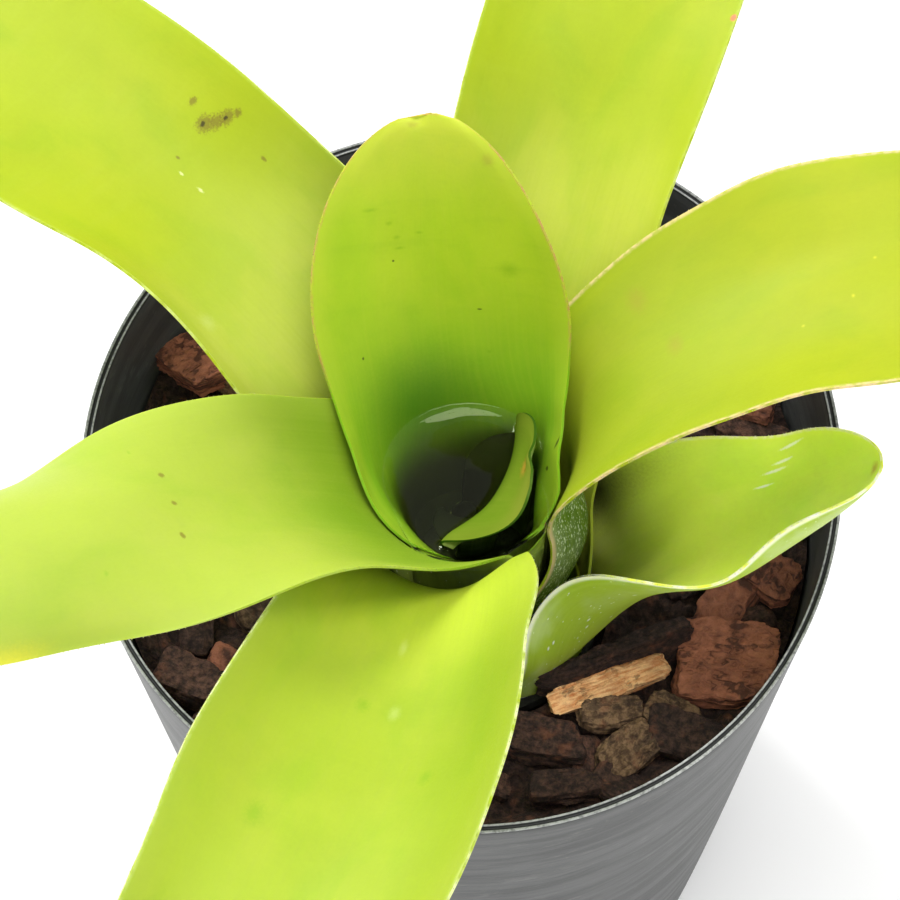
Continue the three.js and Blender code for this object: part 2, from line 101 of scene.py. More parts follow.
def curve_through(stations: Sequence[float], values: Sequence[float], x: np.ndarray) -> np.ndarray:
    """Follow a smooth curve through values given at stations.

    Args:
        stations: Where the values hold, rising.
        values: One value for each station.
        x: Where the curve is wanted.

    Returns:
        The curve's value at each x.
    """
    xs = np.asarray(stations, float)
    ys = np.asarray(values, float)
    slope = np.gradient(ys, xs)
    slope[1:-1] = (ys[2:] - ys[:-2]) / (xs[2:] - xs[:-2])
    i = np.clip(np.searchsorted(xs, x, side="right") - 1, 0, len(xs) - 2)
    width = xs[i + 1] - xs[i]
    t = (x - xs[i]) / width
    s = 1 - t
    return ((1 + 2 * t) * s * s * ys[i] + t * s * s * width * slope[i]
            + t * t * (3 - 2 * t) * ys[i + 1] - t * t * s * width * slope[i + 1])


def waves(x: np.ndarray, y: np.ndarray, length: float, seed: int, count: int = 7) -> np.ndarray:
    """Add up a few sine waves in random directions, for the gentle unevenness of grown things.

    Args:
        x: First coordinate.
        y: Second coordinate.
        length: Typical length of a wave, in the coordinates' unit.
        seed: Picks the directions and phases.
        count: How many waves are added.

    Returns:
        Values mostly between -1 and 1.
    """
    draw = random.Random(seed)
    total = np.zeros(np.broadcast(x, y).shape)
    for _ in range(count):
        angle = draw.uniform(0, 2 * math.pi)
        k = 2 * math.pi / (length * draw.uniform(0.7, 1.6))
        total += np.sin(k * (x * math.cos(angle) + y * math.sin(angle)) + draw.uniform(0, 2 * math.pi))
    return total / math.sqrt(count)


def select_only(piece: bpy.types.Object) -> None:
    """Deselect everything, then make one piece the selected and active one.

    Args:
        piece: The piece.
    """
    bpy.ops.object.select_all(action="DESELECT")
    piece.select_set(True)
    bpy.context.view_layer.objects.active = piece


def named(name: str) -> bpy.types.Object:
    """Name the primitive that was just added.

    Args:
        name: Name of the object and of its mesh.

    Returns:
        The primitive.
    """
    piece = bpy.context.object
    piece.name = name
    piece.data.name = name
    return piece


def apply_modifiers(piece: bpy.types.Object) -> None:
    """Apply every modifier of a piece, first to last.

    Args:
        piece: The piece.
    """
    select_only(piece)
    for modifier in list(piece.modifiers):
        bpy.ops.object.modifier_apply(modifier=modifier.name)


def grid_piece(name: str, points: np.ndarray) -> bpy.types.Object:
    """Add a plain grid and lay its points on a surface.

    Args:
        name: Name of the new piece.
        points: Rows by columns by 3, in millimetres.

    Returns:
        The new piece. Its UV map runs from 0 to 1 over columns and rows.
    """
    rows, columns = points.shape[:2]
    bpy.ops.object.select_all(action="DESELECT")
    bpy.ops.mesh.primitive_grid_add(x_subdivisions=columns - 1, y_subdivisions=rows - 1, size=1)
    piece = named(name)
    piece.data.vertices.foreach_set("co", (points * MM).astype(np.float32).ravel())
    piece.data.update()
    return piece


def face_outwards(piece: bpy.types.Object, welded: bool = True) -> None:
    """Turn the faces of a piece outwards.

    Args:
        piece: The piece.
        welded: Whether its points that lie together are merged first.
    """
    select_only(piece)
    bpy.ops.object.mode_set(mode="EDIT")
    bpy.ops.mesh.select_all(action="SELECT")
    if welded:
        bpy.ops.mesh.remove_doubles(threshold=WELD_GAP)
    bpy.ops.mesh.normals_make_consistent(inside=False)
    bpy.ops.object.mode_set(mode="OBJECT")


def positions(mesh: bpy.types.Mesh) -> np.ndarray:
    """Read the places of a mesh's points.

    Args:
        mesh: The mesh.

    Returns:
        One row for each point, in metres.
    """
    co = np.empty(len(mesh.vertices) * 3, np.float32)
    mesh.vertices.foreach_get("co", co)
    return co.reshape(-1, 3).astype(float)


def set_positions(mesh: bpy.types.Mesh, co: np.ndarray) -> None:
    """Move a mesh's points to new places, in metres."""
    mesh.vertices.foreach_set("co", co.astype(np.float32).ravel())
    mesh.update()


def write_vector(mesh: bpy.types.Mesh, name: str, values: np.ndarray) -> None:
    """Write a vector attribute on a mesh's points."""
    layer = mesh.attributes.get(name) or mesh.attributes.new(name, "FLOAT_VECTOR", "POINT")
    layer.data.foreach_set("vector", values.astype(np.float32).ravel())


def shade_smooth(piece: bpy.types.Object, angle: float = math.pi) -> None:
    """Shade a piece smooth, except over edges sharper than angle."""
    select_only(piece)
    bpy.ops.object.shade_smooth_by_angle(angle=angle)


def join(name: str, pieces: list[bpy.types.Object]) -> bpy.types.Object:
    """Join pieces into the first one and name it.

    Args:
        name: Name of the joined piece.
        pieces: The pieces.

    Returns:
        The joined piece.
    """
    bpy.ops.object.select_all(action="DESELECT")
    for piece in pieces:
        piece.select_set(True)
    bpy.context.view_layer.objects.active = pieces[0]
    bpy.ops.object.join()
    return named(name)


def settle(piece: bpy.types.Object, slot: str, *nodes: str) -> None:
    """Fix a finished piece in the frame.

    Args:
        piece: The piece, at the origin, with its place in its mesh.
        slot: Material slot of the record for the piece; not used.
        *nodes: CAD nodes that the piece stands for.
    """
    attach(piece, BODY)
    if nodes:
        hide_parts(*nodes)
    log.info("%s: %d points, for %s", piece.name, len(piece.data.vertices), ", ".join(nodes))


# ---- shader building


class Tree:
    """Short calls that build one node tree, for a material or for a node group."""

    def __init__(self, tree: bpy.types.NodeTree) -> None:
        """Start on a node tree."""
        self.tree = tree

    def add(self, kind: str, inputs: dict | None = None, **settings: object) -> bpy.types.Node:
        """Add a node.

        Args:
            kind: The node's type without its "ShaderNode" start.
            inputs: Socket name or number to a value or to another node's output.
            **settings: Properties of the node itself.

        Returns:
            The new node.
        """
        node = self.tree.nodes.new("ShaderNode" + kind)
        for key, value in settings.items():
            setattr(node, key, value)
        for key, value in (inputs or {}).items():
            self.feed(node.inputs[key], value)
        return node

    def feed(self, socket: bpy.types.NodeSocket, value: Value) -> None:
        """Link a socket to another node's output, or set its own value.

        Args:
            socket: The input socket.
            value: An output to link to it, or its value.
        """
        if isinstance(value, bpy.types.NodeSocket):
            self.tree.links.new(value, socket)
        else:
            socket.default_value = value

    def math(self, operation: str, a: Value, b: Value = 0.5) -> bpy.types.NodeSocket:
        """Return the result of a Math node."""
        return self.add("Math", {0: a, 1: b}, operation=operation).outputs[0]

    def vector(self, operation: str, a: Value, b: Value = (0, 0, 0)) -> bpy.types.NodeSocket:
        """Return the vector result of a Vector Math node."""
        return self.add("VectorMath", {0: a, 1: b}, operation=operation).outputs["Vector"]

    def scale(self, vector: Value, factor: Value) -> bpy.types.NodeSocket:
        """Return a vector or a colour times a number."""
        return self.add("VectorMath", {0: vector, "Scale": factor}, operation="SCALE").outputs["Vector"]

    def length(self, a: Value) -> bpy.types.NodeSocket:
        """Return the length of a vector."""
        return self.add("VectorMath", {0: a}, operation="LENGTH").outputs["Value"]

    def split(self, vector: Value) -> list[bpy.types.NodeSocket]:
        """Return the three parts of a vector."""
        return list(self.add("SeparateXYZ", {0: vector}).outputs)

    def bring(self, x: Value, y: Value, z: Value) -> bpy.types.NodeSocket:
        """Return a vector made from its three parts."""
        return self.add("CombineXYZ", {0: x, 1: y, 2: z}).outputs[0]

    def noise(self, vector: Value, scale: float = 1.0, detail: float = 2.0, roughness: float = 0.5,
              distortion: float = 0.0) -> bpy.types.NodeSocket:
        """Add a Noise Texture.

        Args:
            vector: Where it is read.
            scale: Its scale.
            detail: How many finer octaves it has.
            roughness: How strong they are.
            distortion: How much it is warped.

        Returns:
            Its value.
        """
        inputs = {"Vector": vector, "Scale": scale, "Detail": detail, "Roughness": roughness,
                  "Distortion": distortion}
        return self.add("TexNoise", inputs).outputs[0]

    def cells(self, vector: Value, scale: Value = 1.0) -> bpy.types.Node:
        """Return a Voronoi Texture node."""
        return self.add("TexVoronoi", {"Vector": vector, "Scale": scale})

    def ramp(self, value: Value, low: Value, high: Value, start: Value = 0.0,
             end: Value = 1.0) -> bpy.types.NodeSocket:
        """Return value carried smoothly from low..high to start..end, and held outside."""
        inputs = {"Value": value, "From Min": low, "From Max": high, "To Min": start, "To Max": end}
        return self.add("MapRange", inputs, interpolation_type="SMOOTHSTEP").outputs[0]

    def blend(self, share: Value, a: Value, b: Value, mode: str = "MIX") -> bpy.types.NodeSocket:
        """Add a colour that goes over from one to another.

        Args:
            share: How much of the second one there is, from 0 to 1.
            a: The first colour.
            b: The second colour.
            mode: How the second lies on the first.

        Returns:
            The colour.
        """
        node = self.add("Mix", data_type="RGBA", blend_type=mode, clamp_factor=True)
        for index, value in ((0, share), (6, a), (7, b)):
            self.feed(node.inputs[index], value)
        return node.outputs[2]

    def bump(self, height: Value, distance: float) -> bpy.types.NodeSocket:
        """Return the normal of a surface raised by height times distance."""
        return self.add("Bump", {"Height": height, "Distance": distance, "Strength": 1.0}).outputs[0]

    def attribute(self, name: str) -> bpy.types.NodeSocket:
        """Return a vector attribute of the mesh."""
        return self.add("Attribute", attribute_name=name, attribute_type="GEOMETRY").outputs["Vector"]

    def place(self) -> bpy.types.NodeSocket:
        """Return the point's place in the object, in metres."""
        return self.add("TexCoord").outputs["Object"]

    def group(self, tree: bpy.types.NodeTree, inputs: dict) -> bpy.types.Node:
        """Place a node group.

        Args:
            tree: The group.
            inputs: Values for its sockets, by name.

        Returns:
            The group's node.
        """
        node = self.tree.nodes.new("ShaderNodeGroup")
        node.node_tree = tree
        for key, value in inputs.items():
            self.feed(node.inputs[key], value)
        return node


SOCKETS = {"value": "NodeSocketFloat", "colour": "NodeSocketColor", "vector": "NodeSocketVector"}


def new_group(name: str, inputs: dict[str, str],
              outputs: dict[str, str]) -> tuple[Tree, dict, bpy.types.Node]:
    """Start a shader node group with named sockets.

    Args:
        name: Name of the group.
        inputs: Input names, each with value, colour or vector.
        outputs: Output names, in the same way.

    Returns:
        The tree to build in, the inputs by name, and the group's output node.
    """
    tree = bpy.data.node_groups.new(name, "ShaderNodeTree")
    for key, kind in inputs.items():
        tree.interface.new_socket(key, in_out="INPUT", socket_type=SOCKETS[kind])
    for key, kind in outputs.items():
        tree.interface.new_socket(key, in_out="OUTPUT", socket_type=SOCKETS[kind])
    entry = tree.nodes.new("NodeGroupInput")
    return Tree(tree), {key: entry.outputs[key] for key in inputs}, tree.nodes.new("NodeGroupOutput")


def new_material(name: str) -> tuple[bpy.types.Material, Tree, bpy.types.Node, bpy.types.Node]:
    """Start a material with a Principled shader.

    Args:
        name: Name of the material.

    Returns:
        The material, its tree, the Principled node and the output node.
    """
    material = bpy.data.materials.new(name)
    material.use_nodes = True
    material.node_tree.nodes.clear()
    tree = Tree(material.node_tree)
    shader = tree.add("BsdfPrincipled")
    output = tree.add("OutputMaterial", {"Surface": shader.outputs[0]})
    return material, tree, shader, output


class Effects:
    """Shader node groups that several materials share."""

    def __init__(self) -> None:
        """Build every group once."""
        self.spot = self._spot()
        self.mottle = self._mottle()
        self.blade = self._blade()
        self.flecks = self._flecks()

    def mottled(self, t: Tree, colour: Value, place: Value, cloud: float,
                grain: float) -> bpy.types.NodeSocket:
        """Mottle a colour.

        Args:
            t: The material's tree.
            colour: The colour.
            place: Where the pattern is read, in mm.
            cloud: Strength of its clouds.
            grain: Strength of its finer grain.

        Returns:
            The mottled colour.
        """
        inputs = {"Colour": colour, "Place": place, "Cloud": cloud, "Grain": grain}
        return t.group(self.mottle, inputs).outputs["Colour"]

    def _spot(self) -> bpy.types.NodeTree:
        """Build a spot with a ragged edge, 1 from its middle out to the share Core of its size.

        Returns:
            The group.
        """
        t, given, out = new_group("spot", {"Place": "vector", "Centre": "vector", "Size": "vector",
                                           "Ragged": "value", "Core": "value"}, {"Mask": "value"})
        ragged = t.noise(given["Place"], 2.3, 3.0, 0.65)
        away = t.vector("SUBTRACT", given["Place"], given["Centre"])
        reach = t.length(t.vector("DIVIDE", away, given["Size"]))
        shaken = t.math("ADD", reach, t.math("MULTIPLY", t.math("SUBTRACT", ragged, 0.5), given["Ragged"]))
        t.feed(out.inputs["Mask"], t.ramp(shaken, 1.0, given["Core"]))
        return t.tree

    def _mottle(self) -> bpy.types.NodeTree:
        """Build the cloudy lightening and darkening of a colour, with a finer grain on it.

        Returns:
            The group.
        """
        t, given, out = new_group("mottle", {"Colour": "colour", "Place": "vector", "Cloud": "value",
                                             "Grain": "value"}, {"Colour": "colour"})
        cloud = t.math("SUBTRACT", t.noise(given["Place"], 0.07, 3.0, 0.55), 0.5)
        grain = t.math("SUBTRACT", t.noise(given["Place"], 1.4, 2.0, 0.6), 0.5)
        clouded = t.math("MULTIPLY", cloud, given["Cloud"])
        lift = t.math("ADD", clouded, t.math("MULTIPLY", grain, given["Grain"]))
        t.feed(out.inputs["Colour"], t.scale(given["Colour"], t.math("ADD", lift, 1.0)))
        return t.tree

    def _flecks(self) -> bpy.types.NodeTree:
        """Build small pale scales of scurf, as on the back of the leaves.

        Returns:
            The group.
        """
        t, given, out = new_group("flecks", {"Place": "vector", "Scale": "value", "Share": "value"},
                                  {"Mask": "value"})
        drawn = t.vector("MULTIPLY", given["Place"], (1.0, 0.55, 1.0))
        cell = t.cells(drawn, given["Scale"])
        chosen = t.split(cell.outputs["Color"])[0]
        round_ = t.ramp(cell.outputs["Distance"], 0.45, 0.12)
        kept = t.math("LESS_THAN", chosen, given["Share"])
        t.feed(out.inputs["Mask"], t.math("MULTIPLY", round_, kept))
        return t.tree

    def _blade(self) -> bpy.types.NodeTree:
        """Build the lengthwise veins, faint cross bands, cloudy patches and grain of a strap leaf.

        Place holds millimetres across and along the blade, and Lanes the share of the blade's width, so that
        the veins close up where the blade narrows.

        Returns:
            The group.
        """
        t, given, out = new_group(
            "blade", {"Place": "vector", "Lanes": "vector", "Seed": "value"},
            {key: "value" for key in ("Veins", "Bands", "Green", "Yellow", "Grain", "Height")})
        across, along, _ = t.split(given["Place"])
        lane = t.split(given["Lanes"])[0]

        def drawn(sideways: Value, cross: float, onward: float) -> bpy.types.NodeSocket:
            """Return the leaf's own place, scaled by two factors across and along the blade."""
            return t.bring(t.math("MULTIPLY", sideways, cross), t.math("MULTIPLY", along, onward),
                           given["Seed"])

        veins = t.noise(drawn(lane, 60.0, 0.02), 1.0, 2.0, 0.6)
        bands = t.noise(drawn(across, 0.09, 0.42), 1.0, 3.0, 0.55, 0.3)
        patches = drawn(across, 0.11, 0.06)
        green = t.noise(patches, 1.0, 4.0, 0.55, 0.4)
        yellow = t.noise(t.vector("ADD", patches, (31.0, 17.0, 5.0)), 0.8, 3.0, 0.5, 0.3)
        grain = t.noise(drawn(across, 1.0, 0.7), 3.4, 3.0, 0.7)
        height = t.math("ADD", t.math("MULTIPLY", veins, 0.6), t.math("MULTIPLY", grain, 0.2))
        for key, value in (("Veins", veins), ("Bands", bands), ("Green", green), ("Yellow", yellow),
                           ("Grain", grain), ("Height", height)):
            t.feed(out.inputs[key], value)
        return t.tree


# ---- leaves


class MarkKind(Enum):
    """Kinds of marks on a leaf, each with its colour, its cover and the share of its size at full cover."""

    BROWN = (srgb(112, 100, 30), 0.75, 0.35)
    DARK = (srgb(46, 40, 18), 0.85, 0.4)
    DARK_DOT = (srgb(42, 52, 14), 0.8, 0.4)
    FAINT = (srgb(150, 140, 50), 0.45, 0.1)
    GREEN = (srgb(104, 150, 10), 0.4, 0.0)
    PALE = (srgb(226, 228, 176), 0.55, 0.2)
    BLUSH = (srgb(150, 138, 48), 0.42, 0.0)
    SCRATCH = (srgb(240, 246, 220), 0.9, 0.3)
    YELLOW = (srgb(214, 200, 50), 0.5, 0.0)
    PINK = (srgb(206, 104, 92), 0.8, 0.4)
    OCHRE = (srgb(176, 120, 50), 0.55, 0.0)
    SHADE = (srgb(116, 148, 16), 0.5, 0.0)
    HAZE = (srgb(216, 224, 156), 0.17, 0.0)
    # painted shade low on the centre leaf, just above the water
    DEEP_SHADE = (srgb(52, 100, 10), 0.75, 0.0)
    # painted shade in the hollow at the base of the low right leaf
    HOLLOW_SHADE = (srgb(30, 32, 14), 0.95, 0.0)

    @property
    def colour(self) -> Colour:
        """Colour of the mark."""
        return self.value[0]

    @property
    def cover(self) -> float:
        """How much of the leaf's own colour it hides."""
        return self.value[1]

    @property
    def core(self) -> float:
        """Share of its size over which it is at its strongest."""
        return self.value[2]


@dataclass(frozen=True)
class Mark:
    """A mark on a leaf's upper face.

    Attributes:
        across: Place of its middle across the blade, in mm, with the left positive.
        along: Place of its middle along the leaf from its foot, in mm.
        width: Half its width, in mm.
        length: Half its length, in mm.
        kind: What mark it is.
        ragged: How uneven its outline is.
    """

    across: float
    along: float
    width: float
    length: float
    kind: MarkKind
    ragged: float = 0.6


def marked(kind: MarkKind, *rows: Sequence[float]) -> tuple[Mark, ...]:
    """Return marks of one kind, each from its across, along, width, length and any raggedness of its own."""
    return tuple(Mark(*row[:4], kind, *row[4:]) for row in rows)


@dataclass(frozen=True)
class Push:
    """A place where a leaf is pushed out of its even form, strongest at its middle.

    Attributes:
        across: Place across the blade, in mm.
        along: Place along the blade, in mm.
        shift: The push, in mm along the pot's axes.
        reach: Radius that takes part, in mm.
    """

    across: float
    along: float
    shift: Point
    reach: float


@dataclass(frozen=True)
class Edge:
    """A stretch over which a leaf is wider or narrower than its even form.

    Attributes:
        along: Middle of the stretch, in mm along the leaf.
        reach: Half its length, in mm.
        left: Added to the left half's width, in mm.
        right: Added to the right half's width, in mm.
    """

    along: float
    reach: float
    left: float
    right: float


@dataclass(frozen=True)
class Skin:
    """Colours of one leaf.

    Attributes:
        blade: Upper face of the blade.
        heart: Upper face near the cup, painted light and shade: darker where the base lies in shade, paler
            where lit.
        tip: Upper face near the tip.
        back: Under face of the blade.
        sheath: Under face near the foot, darker than the back: painted shade where the sheaths stand in the
            cup.
        margin: The thin line along its edge.
        heart_reach: Along the leaf, in mm, over which the heart's colour turns into the blade's.
        tip_start: Along the leaf, in mm, where the tip's colour starts.
        line: How strongly the margin's line shows on the upper face.
        line_width: Width of that line, in mm.
        line_start: Along the leaf, in mm, where the line begins.
        teeth: Colour of the spines' points.
        scurf: Share of its under side that pale scales cover near the sheath.
        bands: How strongly the cross bands show.
        patches: How strongly the greener and yellower patches show.
        glow: Share of the light that goes through the tissue.
        sunk_shade: Upper face below the water line, painted shade as the light fades under the water.
        sunk_shade_depth: Depth, in mm, over which the face takes that colour, or 0 where there is no water.
        foot: Edge below the start of the margin's line, or None for the heart's colour.
        relief: How strongly its veins and grain stand out.
        shine: Strength of the sheen of its wax.
    """

    blade: Colour
    heart: Colour
    tip: Colour
    back: Colour = srgb(150, 176, 70)
    sheath: Colour = srgb(84, 108, 38)
    margin: Colour = srgb(178, 192, 108)
    heart_reach: tuple[float, float] = (34.0, 62.0)
    tip_start: float = 110.0
    line: float = 0.25
    line_width: float = 0.6
    line_start: float = 46.0
    teeth: Colour = srgb(158, 160, 96)
    scurf: float = 0.12
    bands: float = 0.05
    patches: float = 0.34
    glow: float = 0.5
    sunk_shade: Colour = srgb(66, 78, 30)
    sunk_shade_depth: float = 0.0
    foot: Colour | None = None
    relief: float = 1.0
    shine: float = 0.2


@dataclass(frozen=True)
class LeafFinish:
    """The finishes of one leaf: its under face, its upper face and its cut-thin edge.

    Attributes:
        name: Name of the leaf.
        skin: Its colours.
        seed: Picks its own pattern.
        length: Length of the leaf, in mm.
        marks: Marks on its upper face.
    """

    name: str
    skin: Skin
    seed: int
    length: float
    marks: tuple[Mark, ...]

    GREENER: ClassVar[Colour] = (0.72, 0.9, 0.55, 1)
    YELLOWER: ClassVar[Colour] = (1.16, 1.05, 1.5, 1)
    VEIN: ClassVar[Colour] = srgb(186, 206, 90)
    HAZE: ClassVar[Colour] = srgb(222, 230, 200)
    SCURF: ClassVar[Colour] = srgb(232, 238, 216)
    SCURF_SCALES: ClassVar[tuple[float, float]] = (3.2, 1.5)
    SPREAD: ClassVar[Point] = (0.9, 1.0, 0.15)
    SPREAD_SCALE: ClassVar[float] = 0.0012
    UPPER_RELIEF: ClassVar[float] = 0.00003
    UNDER_RELIEF: ClassVar[float] = 0.00005

    def build(self, effects: Effects) -> tuple[bpy.types.Material, ...]:
        """Build all three.

        Args:
            effects: Shared shader groups.

        Returns:
            Under face, upper face and edge, as the leaf's faces number them.
        """
        return self._under(effects), self._upper(effects), self._margin()

    def _texture(self, t: Tree, effects: Effects, shift: float) -> tuple[Value, Value, Value, dict]:
        """Read the blade's own coordinates and place its texture.

        Args:
            t: The material's tree.
            effects: Shared shader groups.
            shift: Moves the pattern, so that both faces differ.

        Returns:
            Place on the blade, length along it, distance from its margin, and the texture's outputs by name.
        """
        place = t.attribute("blade")
        _, along, room = t.split(place)
        lanes = t.add("UVMap", uv_map="UVMap").outputs[0]
        texture = t.group(effects.blade, {"Place": place, "Lanes": lanes, "Seed": self.seed * 0.37 + shift})
        return place, along, room, texture.outputs

    def _paint_sunk_shade(self, t: Tree, colour: Value) -> Value:
        """Carry a colour over to painted shade below the water line, if water stands on this leaf.

        Args:
            t: The material's tree.
            colour: The colour above the water.

        Returns:
            The colour at every height.
        """
        if not self.skin.sunk_shade_depth:
            return colour
        level = (PLANT[2] + WATER_LINE) * MM
        height = t.split(t.place())[2]
        # painted shade: darker below the water line
        return t.blend(t.ramp(height, level, level - self.skin.sunk_shade_depth * MM), colour, self.skin.sunk_shade)

    def _dress(self, shader: bpy.types.Node) -> None:
        """Set the constant values of thin living leaf, which lets light through.

        Args:
            shader: The Principled node.
        """
        shader.inputs["Subsurface Weight"].default_value = self.skin.glow
        shader.inputs["Subsurface Radius"].default_value = self.SPREAD
        shader.inputs["Subsurface Scale"].default_value = self.SPREAD_SCALE
        shader.inputs["Specular IOR Level"].default_value = self.skin.shine

    def _upper(self, effects: Effects) -> bpy.types.Material:
        """Build the upper face's finish: waxy green with soft patches, faint veins, a margin line and marks.

        Args:
            effects: Shared shader groups.

        Returns:
            The material.
        """
        material, t, shader, _ = new_material(self.name + "_upper")
        skin = self.skin
        place, along, room, texture = self._texture(t, effects, 0.0)
        # painted light and shade near the cup: the heart's colour turns into the blade's
        colour = t.blend(t.ramp(along, *skin.heart_reach), skin.heart, skin.blade)
        colour = t.blend(t.ramp(along, skin.tip_start, self.length), colour, skin.tip)
        greener = t.blend(1.0, colour, self.GREENER, "MULTIPLY")
        colour = t.blend(t.ramp(texture["Green"], 0.46, 0.68, 0, skin.patches), colour, greener)
        yellower = t.blend(1.0, colour, self.YELLOWER, "MULTIPLY")
        colour = t.blend(t.ramp(texture["Yellow"], 0.46, 0.66, 0, skin.patches), colour, yellower)
        colour = t.blend(t.ramp(texture["Bands"], 0.5, 0.74, 0, skin.bands), colour, skin.heart)
        shifted = t.vector("ADD", place, (self.seed * 7.3, self.seed * 3.1, 0))
        colour = effects.mottled(t, colour, shifted, 0.16, 0.07)
        colour = t.blend(t.ramp(texture["Veins"], 0.4, 0.7, 0, 0.1), colour, skin.tip)
        colour = t.blend(t.ramp(texture["Grain"], 0.56, 0.8, 0, 0.12), colour, skin.heart)
        colour = t.blend(t.ramp(room, 4.5, 0.4, 0, 0.3), colour, skin.tip)
        colour = self._paint_sunk_shade(t, colour)
        line = t.ramp(room, skin.line_width, skin.line_width * 0.25, 0, skin.line)
        line = t.math("MULTIPLY", line, t.ramp(t.noise(place, 0.9, 3.0), 0.34, 0.6, 0.3, 1.0))
        line = t.math("MULTIPLY", line, t.ramp(along, skin.line_start, skin.line_start + 10))
        colour = self._mark(t, effects, t.blend(line, colour, skin.margin), place)
        t.feed(shader.inputs["Base Color"], colour)
        t.feed(shader.inputs["Roughness"], t.ramp(texture["Grain"], 0.2, 0.8, 0.46, 0.6))
        t.feed(shader.inputs["Normal"], t.bump(texture["Height"], self.UPPER_RELIEF * skin.relief))
        self._dress(shader)
        return material

    def _mark(self, t: Tree, effects: Effects, colour: Value, place: Value) -> Value:
        """Lay the leaf's marks over its colour.

        Args:
            t: The material's tree.
            effects: Shared shader groups.
            colour: The colour without marks.
            place: Place on the blade.

        Returns:
            The colour with marks.
        """
        flat = t.vector("MULTIPLY", place, (1, 1, 0))
        for mark in self.marks:
            spot = t.group(effects.spot, {
                "Place": flat, "Centre": (mark.across, mark.along, 0), "Size": (mark.width, mark.length, 1),
                "Ragged": mark.ragged, "Core": mark.kind.core})
            cover = t.math("MULTIPLY", spot.outputs["Mask"], mark.kind.cover)
            colour = t.blend(cover, colour, mark.kind.colour)
        return colour

    def _under(self, effects: Effects) -> bpy.types.Material:
        """Build the under face's finish: duller, with pale scurf that is thickest on the sheath.

        Args:
            effects: Shared shader groups.

        Returns:
            The material.
        """
        material, t, shader, _ = new_material(self.name + "_under")
        skin = self.skin
        place, along, room, texture = self._texture(t, effects, 40.0)
        # painted shade: the under face darkens towards the foot, within the cup
        colour = t.blend(t.ramp(along, 6, 44), skin.sheath, skin.back)
        colour = effects.mottled(t, colour, place, 0.35, 0.12)
        colour = t.blend(t.ramp(texture["Veins"], 0.35, 0.7, 0, 0.12), colour, self.VEIN)
        haze = t.ramp(t.noise(place, 0.11, 3.0), 0.42, 0.7, 0.0, 0.2)
        colour = t.blend(t.math("MULTIPLY", haze, t.ramp(room, 12, 2)), colour, self.HAZE)
        near_foot = t.ramp(along, 82, 50, 0.03, skin.scurf)
        fine, coarse = (t.group(effects.flecks, {"Place": place, "Scale": scale, "Share": near_foot})
                        for scale in self.SCURF_SCALES)
        scurf = t.math("MAXIMUM", fine.outputs["Mask"], coarse.outputs["Mask"])
        scurf = t.math("MULTIPLY", scurf, t.ramp(room, 0.3, 1.2))
        colour = t.blend(t.math("MULTIPLY", scurf, 0.8), colour, self.SCURF)
        line = t.ramp(room, skin.line_width * 1.6, skin.line_width * 0.5, 0, 0.85)
        colour = t.blend(line, colour, skin.margin)
        t.feed(shader.inputs["Base Color"], colour)
        t.feed(shader.inputs["Roughness"], t.ramp(scurf, 0, 1, 0.5, 0.85))
        height = t.math("ADD", texture["Height"], t.math("MULTIPLY", scurf, 1.4))
        t.feed(shader.inputs["Normal"], t.bump(height, self.UNDER_RELIEF * skin.relief))
        self._dress(shader)
        return material

    def _margin(self) -> bpy.types.Material:
        """Build the finish of the leaf's cut-thin edge and its spines, browner at the points.

        Returns:
            The material.
        """
        material, t, shader, _ = new_material(self.name + "_margin")
        skin = self.skin
        place = t.attribute("blade")
        _, along, room = t.split(place)
        grown = t.ramp(along, skin.line_start, skin.line_start + 10)
        colour = t.blend(t.ramp(t.noise(place, 0.35, 2.0), 0.35, 0.65), skin.margin, skin.blade)
        colour = t.blend(grown, skin.foot or skin.heart, colour)
        colour = self._paint_sunk_shade(t, t.blend(t.ramp(room, -0.3, -0.95), colour, skin.teeth))
        t.feed(shader.inputs["Base Color"], colour)
        shader.inputs["Roughness"].default_value = 0.5
        self._dress(shader)
        return material


